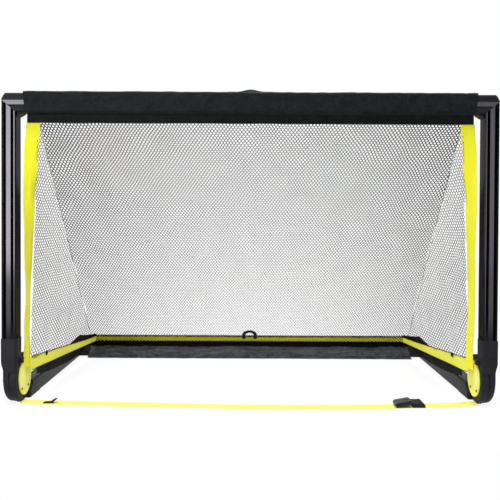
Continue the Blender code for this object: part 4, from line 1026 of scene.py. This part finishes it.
def netMesh(surface, normal, wide, tall, keep, widthAt, stretch):
    across, down, knot = net["across"] * stretch, net["down"], net["knot"]
    rows = int(tall / down) + 1
    columns = int(wide / across) + 2
    bm = bmesh.new()

    def spot(u, v):
        # The knitting wanders a few millimetres from its even pattern
        scale = net["wanderScale"]
        drift = [net["wander"] * noise.noise(Vector((u * scale, v * scale, seed))) for seed in (3.1, 8.6)]
        return surface(u + drift[0], v + drift[1])

    def strand(a, b):
        middle = ((a[0] + b[0]) / 2, (a[1] + b[1]) / 2)
        if keep(*middle):
            start, end = spot(*a), spot(*b)
            out = normal * widthAt(*middle) / 2
            addRidge(bm, start, end, (end - start).cross(out).normalized() * out.length, out * 0.9)

    for j in range(rows):
        for i in range(columns):
            u = (i + (j % 2) / 2 - columns / 2) * across
            v = j * down
            strand((u, v - knot), (u, v + knot))
            for step in (-1, 1):
                strand((u, v + knot), (u + step * across / 2, v + down - knot))
    return bm


def makeBackNet():
    # From the crossbar sleeve's hem down to the rear tape, bowed a little outwards
    back = {"bow": 0.010, "wave": 0.0016, "narrows": 0.006, "half": 0.5115, "flare": 0.0035, "cord": 0.0008}
    top = Vector((0, mouthY + railMiddle, 0.6885))
    foot = Vector((0, mouthY + 0.6046, 0.0600))
    slope = foot - top
    length = slope.length
    out = Vector((0, -slope.z, slope.y)).normalized()
    if out.z < 0:
        out.negate()

    def surface(u, v):
        share = limit(v / length)
        sway = math.sin(math.pi * share)
        wave = back["wave"] * noise.noise(Vector((u * 6, v * 6, 1.7)))
        bow = back["bow"] * max(0.0, 1 - (u / 0.515) ** 4)
        x = u * (1 + back["narrows"] * (0.5 - share))
        return Vector((x, 0, 0)) + top + slope * share + out * (bow + wave) * sway

    def inside(u, v):
        return abs(u) < back["half"] + back["flare"] * v / length and 0 <= v <= length

    def widthAt(u, v):
        # The cord bunches towards the sides and the top, where the net hangs slack
        return back["cord"] + 0.0009 * min(1.0, abs(u) / 0.5) ** 2 + 0.0010 * (1 - v / length)

    bm = netMesh(surface, out, 1.04, length, inside, widthAt, 1.0)
    obj = addPiece("back net", bm, cordBlack, None, "net_back", angle=0)
    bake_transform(obj)


def makeSideNet(side, word):
    # Triangle between the front tape, the bottom tape and the back net
    high, front, rear = Vector((railMiddle, 0.6870)), Vector((0.0724, 0.1030)), Vector((0.5970, 0.0590))
    shape = {"top": 0.5135, "front": 0.0345, "rear": -0.0005, "bow": 0.006, "middle": 0.31, "start": 0.691}

    def weights(u, v):
        # How far a point lies from the top corner towards the front one and the rear one
        a, b = front - high, rear - high
        p = Vector((shape["middle"] + u, shape["start"] - v)) - high
        area = a.cross(b)
        return p.cross(b) / area, a.cross(p) / area

    def surface(u, v):
        toFront, toRear = weights(u, v)
        bow = shape["bow"] * 27 * max(0, toFront) * max(0, toRear) * max(0, 1 - toFront - toRear)
        x = shape["top"] + shape["front"] * toFront + shape["rear"] * toRear + bow
        return Vector((side * x, mouthY + shape["middle"] + u, shape["start"] - v))

    def inside(u, v):
        toFront, toRear = weights(u, v)
        return toFront > -0.002 and toRear > -0.002 and toFront + toRear < 1.004

    out = Vector((side, 0, 0))
    bm = netMesh(surface, out, 0.60, 0.64, inside, lambda u, v: net["sideWidth"], net["sideStretch"])
    sheet = addPiece("side net " + word, bm, cordBlack, "base_frame", "net_side_" + word, angle=0)
    seam = {"x": 0.5130, "sag": 0.00175, "width": 0.0016, "thick": 0.0012}
    stations = []
    for i in range(41):
        sag = seam["sag"] * math.sin(math.pi * i / 40)
        y, z = high.lerp(rear, i / 40) + Vector((sag, sag))
        stations.append(((side * seam["x"], mouthY + y, z), (0, 0.7, 0.7), seam["width"]))
    bm = ribbonMesh(stations, seam["thick"], strips=2)
    edge = addPiece("net seam " + word, bm, cordBlack, "base_frame")
    for obj in (sheet, edge):
        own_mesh(obj)


makeBackNet()
for side, word in sides:
    makeSideNet(side, word)
print("nets made")


# Small pieces of webbing

def makeHandle():
    # Carry handle: flat webbing that stands a little off the sleeve's top
    handle = {"half": 0.055, "rise": 0.005, "riseHalf": 0.033, "z": 0.76025, "width": 0.025, "thick": 0.0014}
    stations = []
    for i in range(49):
        x = handle["half"] * (i / 24 - 1)
        rise = handle["rise"] * ease(limit((handle["riseHalf"] - abs(x)) / handle["riseHalf"]))
        stations.append(((x, mouthY + railMiddle, handle["z"] + rise), (0, 1, 0), handle["width"]))
    bm = ribbonMesh(stations, handle["thick"], strips=6, ripple=0.0002, seed=4.0)
    addPiece("carry handle", bm, blackTape, "front_frame", "same")


def makeLoop():
    # Half ring that leans forward with the net, on two short legs
    loop = {"radius": 0.0185, "y": 0.59945, "foot": 0.0605, "legs": 0.073, "band": 0.0032, "thick": 0.0108}
    lean = Vector((0, -0.584, 0.612)).normalized()
    across = tuple(lean.cross(Vector((1, 0, 0))))
    shoulder = Vector((0, mouthY + loop["y"], loop["legs"]))
    radius, band = loop["radius"], loop["band"]
    stations = []
    for x, rise in arc((0, 0), radius, 180, 0, 24):
        stations.append((tuple(shoulder + lean * rise + Vector((x, 0, 0))), across, band))
    feet = [((x, shoulder.y, loop["foot"]), (0, 1, 0), band) for x in (-radius, radius)]
    bm = ribbonMesh([feet[0], *stations, feet[1]], loop["thick"], strips=4)
    addPiece("rear loop", bm, blackTape, "base_frame", "storage_loop", angle=60)


makeHandle()
makeLoop()
print("handle and loop made")


# Ground strap with its clip, buckle and tail

strapSize = {"reach": 0.5537, "half": 0.5610, "width": 0.037, "thick": 0.0015, "z": 0.00105, "top": 0.0021}


def strapY(x):
    # Slack, it lies a little further back at its left
    share = x / strapSize["reach"]
    return mouthY + 0.004 + 0.036 * share ** 2 - 0.0156 * share * (1 - share ** 2)


def makeStrap():
    stations = []
    for i in range(81):
        x = strapSize["half"] * (2 * i / 80 - 1)
        rise = 0.0012 * limit((abs(x) - 0.540) / 0.012)  # over the lugs of the knuckles
        stations.append(((x, strapY(x), strapSize["z"] + rise), (0, 1, 0), strapSize["width"]))
    points = [middle for middle, _, _ in stations]
    length = sum((Vector(a) - Vector(b)).length for a, b in zip(points, points[1:]))
    bm = ribbonMesh(stations, strapSize["thick"], strips=8, ripple=0.0003, seed=6.0)
    # Its pale webbing carries painted glare
    obj = addPiece("ground strap", bm, paleGlareTape, "base_frame", "same")
    return obj, points, length


def strapPiece(name, outline, x, half, angle):
    # A moulding on the strap: its outline drawn across it, half as wide each way
    bm = loft([[(a, strapY(x) + b, strapSize["top"] + c) for a, c in outline] for b in (-half, half)])
    return addPiece(name, bm, plastic, "base_frame", "same", angle)


def makeClip():
    # Small slide at the left whose free edge stands up
    outline = filletPath([
        (-0.5030, 0, 0), (-0.4800, 0, 0), (-0.4800, 0.0022, 0.0005), (-0.4690, 0.0105, 0.0006),
        (-0.4760, 0.0100, 0.0006), (-0.4880, 0.0028, 0.001), (-0.5030, 0.0018, 0.0006),
    ])
    return strapPiece("strap clip", outline, 0.486, 0.006, 30)


def makeBuckle():
    # Ribbed ladder buckle with a rounded back
    buckle = {"start": 0.3945, "length": 0.030, "height": 0.011, "groove": 0.0098, "back": 0.008}
    outline = [(buckle["length"], 0), (0, 0), (0, 0.0082), (0.0013, 0.0104), (0.003, buckle["height"])]
    for i in range(1, 7):
        outline.append((0.003 + 0.0195 * i / 7, buckle["groove"] if i % 2 else buckle["height"]))
    outline += arc((0.022, 0.003), buckle["back"], 90, 0, 8)
    outline = [(buckle["start"] + a, b) for a, b in outline]
    return strapPiece("strap buckle", outline, 0.4095, 0.022, 25)


def makeTail():
    # Folded black webbing: a loop that climbs towards the buckle
    tail = {"x": 0.373, "radius": 0.0047, "width": 0.038, "thick": 0.0016}
    low, high, radius = (0.3575, 0.0076), (0.388, 0.0136), tail["radius"]
    tilt = math.degrees(math.atan2(high[1] - low[1], high[0] - low[0]))
    line = arc(high, radius, tilt - 90, tilt + 90, 10) + arc(low, radius, tilt + 90, tilt + 270, 10)
    stations = [((a, strapY(tail["x"]), c), (0, 1, 0), tail["width"]) for a, c in line + line[:1]]
    bm = ribbonMesh(stations, tail["thick"], strips=8, ripple=0.0002, seed=9.0)
    return addPiece("strap tail", bm, blackTape, "base_frame", "same", angle=60)


strap, strapPath, strapLength = makeStrap()
strapPieces = [makeClip(), makeBuckle(), makeTail()]
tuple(strapPath[0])
print("strap made", round(strapLength, 4))


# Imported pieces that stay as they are, each with its material

packed = {
    "corner_insert_": plastic, "rear_insert_": plastic, "corner_gusset_": plastic, "tape_hook_": plastic,
    "corner_screw_": screwBlack, "hinge_bolt_": zinc, "hinge_nut_": zinc, "hinge_washer_": zinc,
}
for prefix, material in packed.items():
    for _, word in sides:
        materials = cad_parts[prefix + word].data.materials
        materials.clear()
        materials.append(material)
print("packed pieces dressed")


def makeSpring(word):
    # Coil of steel wire behind the push button
    wire = {"radius": 0.0006, "turns": 6, "steps": 24, "sides": 8, "travel": 0.0036}
    low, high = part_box("button_spring_" + word)
    middle = (low + high) / 2
    length = high.x - low.x
    count = wire["turns"] * wire["steps"]
    start = Vector((low.x + wire["radius"], high.z - middle.z - wire["radius"] + middle.y, middle.z))
    bm = bmesh.new()
    ring = bmesh.ops.create_circle(
        bm, segments=wire["sides"], radius=wire["radius"], matrix=Matrix.Translation(start)
    )["verts"]
    bmesh.ops.spin(
        bm, geom=ring + bm.edges[:], cent=middle, axis=(1, 0, 0), angle=2 * math.pi * wire["turns"],
        steps=count, dvec=((length - 2 * wire["radius"]) / count, 0, 0), use_merge=False,
    )
    bmesh.ops.holes_fill(bm, edges=bm.edges[:], sides=wire["sides"])
    obj = addPiece("coil spring " + word, bm, zinc, "front_frame", "button_spring_" + word, angle=60)
    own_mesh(obj)


for side, word in sides:
    makeSpring(word)
print("springs made")


# White studio: a backdrop behind the goal, a dimmer room behind the camera

def addFloor():
    # White sweep: it shines evenly and keeps a faint shadow; it ends in front, where the room is dark
    sweep = {"side": 12, "front": -1.15, "back": 12, "z": -0.0005, "near": 0.40, "far": 0.80, "glow": 0.86}
    material, shader = newMaterial("white paper floor")
    setInputs(material, shader, {"Base Color": "F8F8F8", "Roughness": 0.95, "Specular IOR Level": 0.0})
    place = addNode(material, "TexCoord", {}, "Object")
    squeezed = addNode(material, "VectorMath", {0: place, 1: (0.6, 1.0, 1.0)}, operation="MULTIPLY")
    distance = addNode(material, "VectorMath", {0: squeezed}, "Value", operation="LENGTH")
    fade = addNode(material, "MapRange", {
        "Value": distance, "From Min": sweep["near"], "From Max": sweep["far"], "To Min": sweep["glow"],
    }, interpolation_type="SMOOTHSTEP")
    glow = addNode(material, "Emission", {"Color": "FFFFFF", "Strength": 1.0})
    mixed = addNode(material, "MixShader", {0: fade, 1: shader.outputs["BSDF"], 2: glow})
    setInputs(material, material.node_tree.nodes["Material Output"], {"Surface": mixed})
    bm = bmesh.new()
    left, front, back = -sweep["side"], sweep["front"], sweep["back"]
    corners = [(left, front), (-left, front), (-left, back), (left, back)]
    bm.faces.new([bm.verts.new((x, y, sweep["z"])) for x, y in corners])
    finish("studio floor", bm, material)


def addLights():
    # Each lamp's name, place and what it points at counted from the mouth, size and power
    lamps = (
        ("left strip", (-1.36, -2.2, 0.64), (-0.58, 0, 0.45), (0.42, 0.98), 32),
        ("right strip", (1.36, -2.2, 0.64), (0.58, 0, 0.45), (0.42, 0.98), 8),
        ("left low", (-1.36, -2.2, -0.01), (-0.58, 0, 0.25), (0.42, 0.32), 2.2),
        ("right low", (1.36, -2.2, -0.01), (0.58, 0, 0.25), (0.42, 0.32), 1.8),
        ("high front", (0, -1.2, 2.6), (0, 0, 0.3), (2.6, 1.0), 47),
        ("overhead", (0, 0.425, 2.4), (0, 0.425, 0), (3.4, 2.4), 82),
    )
    for name, place, aim, size, power in lamps:
        data = bpy.data.lights.new(name, "AREA")
        data.shape = "RECTANGLE"
        data.size, data.size_y = size
        data.energy = power
        light = bpy.data.objects.new(name, data)
        bpy.context.scene.collection.objects.link(light)
        light.location = Vector(place) + Vector((0, mouthY, 0))
        light.rotation_euler = (Vector(aim) - Vector(place)).to_track_quat("-Z", "Y").to_euler()


def addWorld():
    # Seen or mirrored, the room behind the goal is white; the side behind the camera stays dimmer
    room = {"dim": 0.06, "from": -0.1, "to": 0.5}
    world = bpy.data.worlds.new("studio")
    world.use_nodes = True
    bpy.context.scene.world = world
    direction = addNode(world, "TexCoord", {}, "Generated")
    depthway = addNode(world, "SeparateXYZ", {0: direction}, "Y")
    behind = addNode(world, "MapRange", {"Value": depthway, "From Min": room["from"], "From Max": room["to"]})
    lit = addNode(world, "MapRange", {"Value": behind, "To Min": room["dim"]})
    kinds = ("Is Camera Ray", "Is Transmission Ray", "Is Glossy Ray")
    camera, through, glossy = (addNode(world, "LightPath", {}, kind) for kind in kinds)
    seen = addNode(world, "Math", {0: camera, 1: through}, operation="MAXIMUM")
    mirrored = addNode(world, "Math", {0: glossy, 1: behind}, operation="MULTIPLY")
    white = addNode(world, "Math", {0: seen, 1: mirrored}, operation="MAXIMUM")
    level = addNode(world, "Mix", {0: white, 2: lit, 3: 1.0}, data_type="FLOAT")
    setInputs(world, world.node_tree.nodes["Background"], {"Color": "FFFFFF", "Strength": level})


addFloor()
addLights()
addWorld()
bpy.context.scene.view_settings.view_transform = "Standard"
print("studio made")
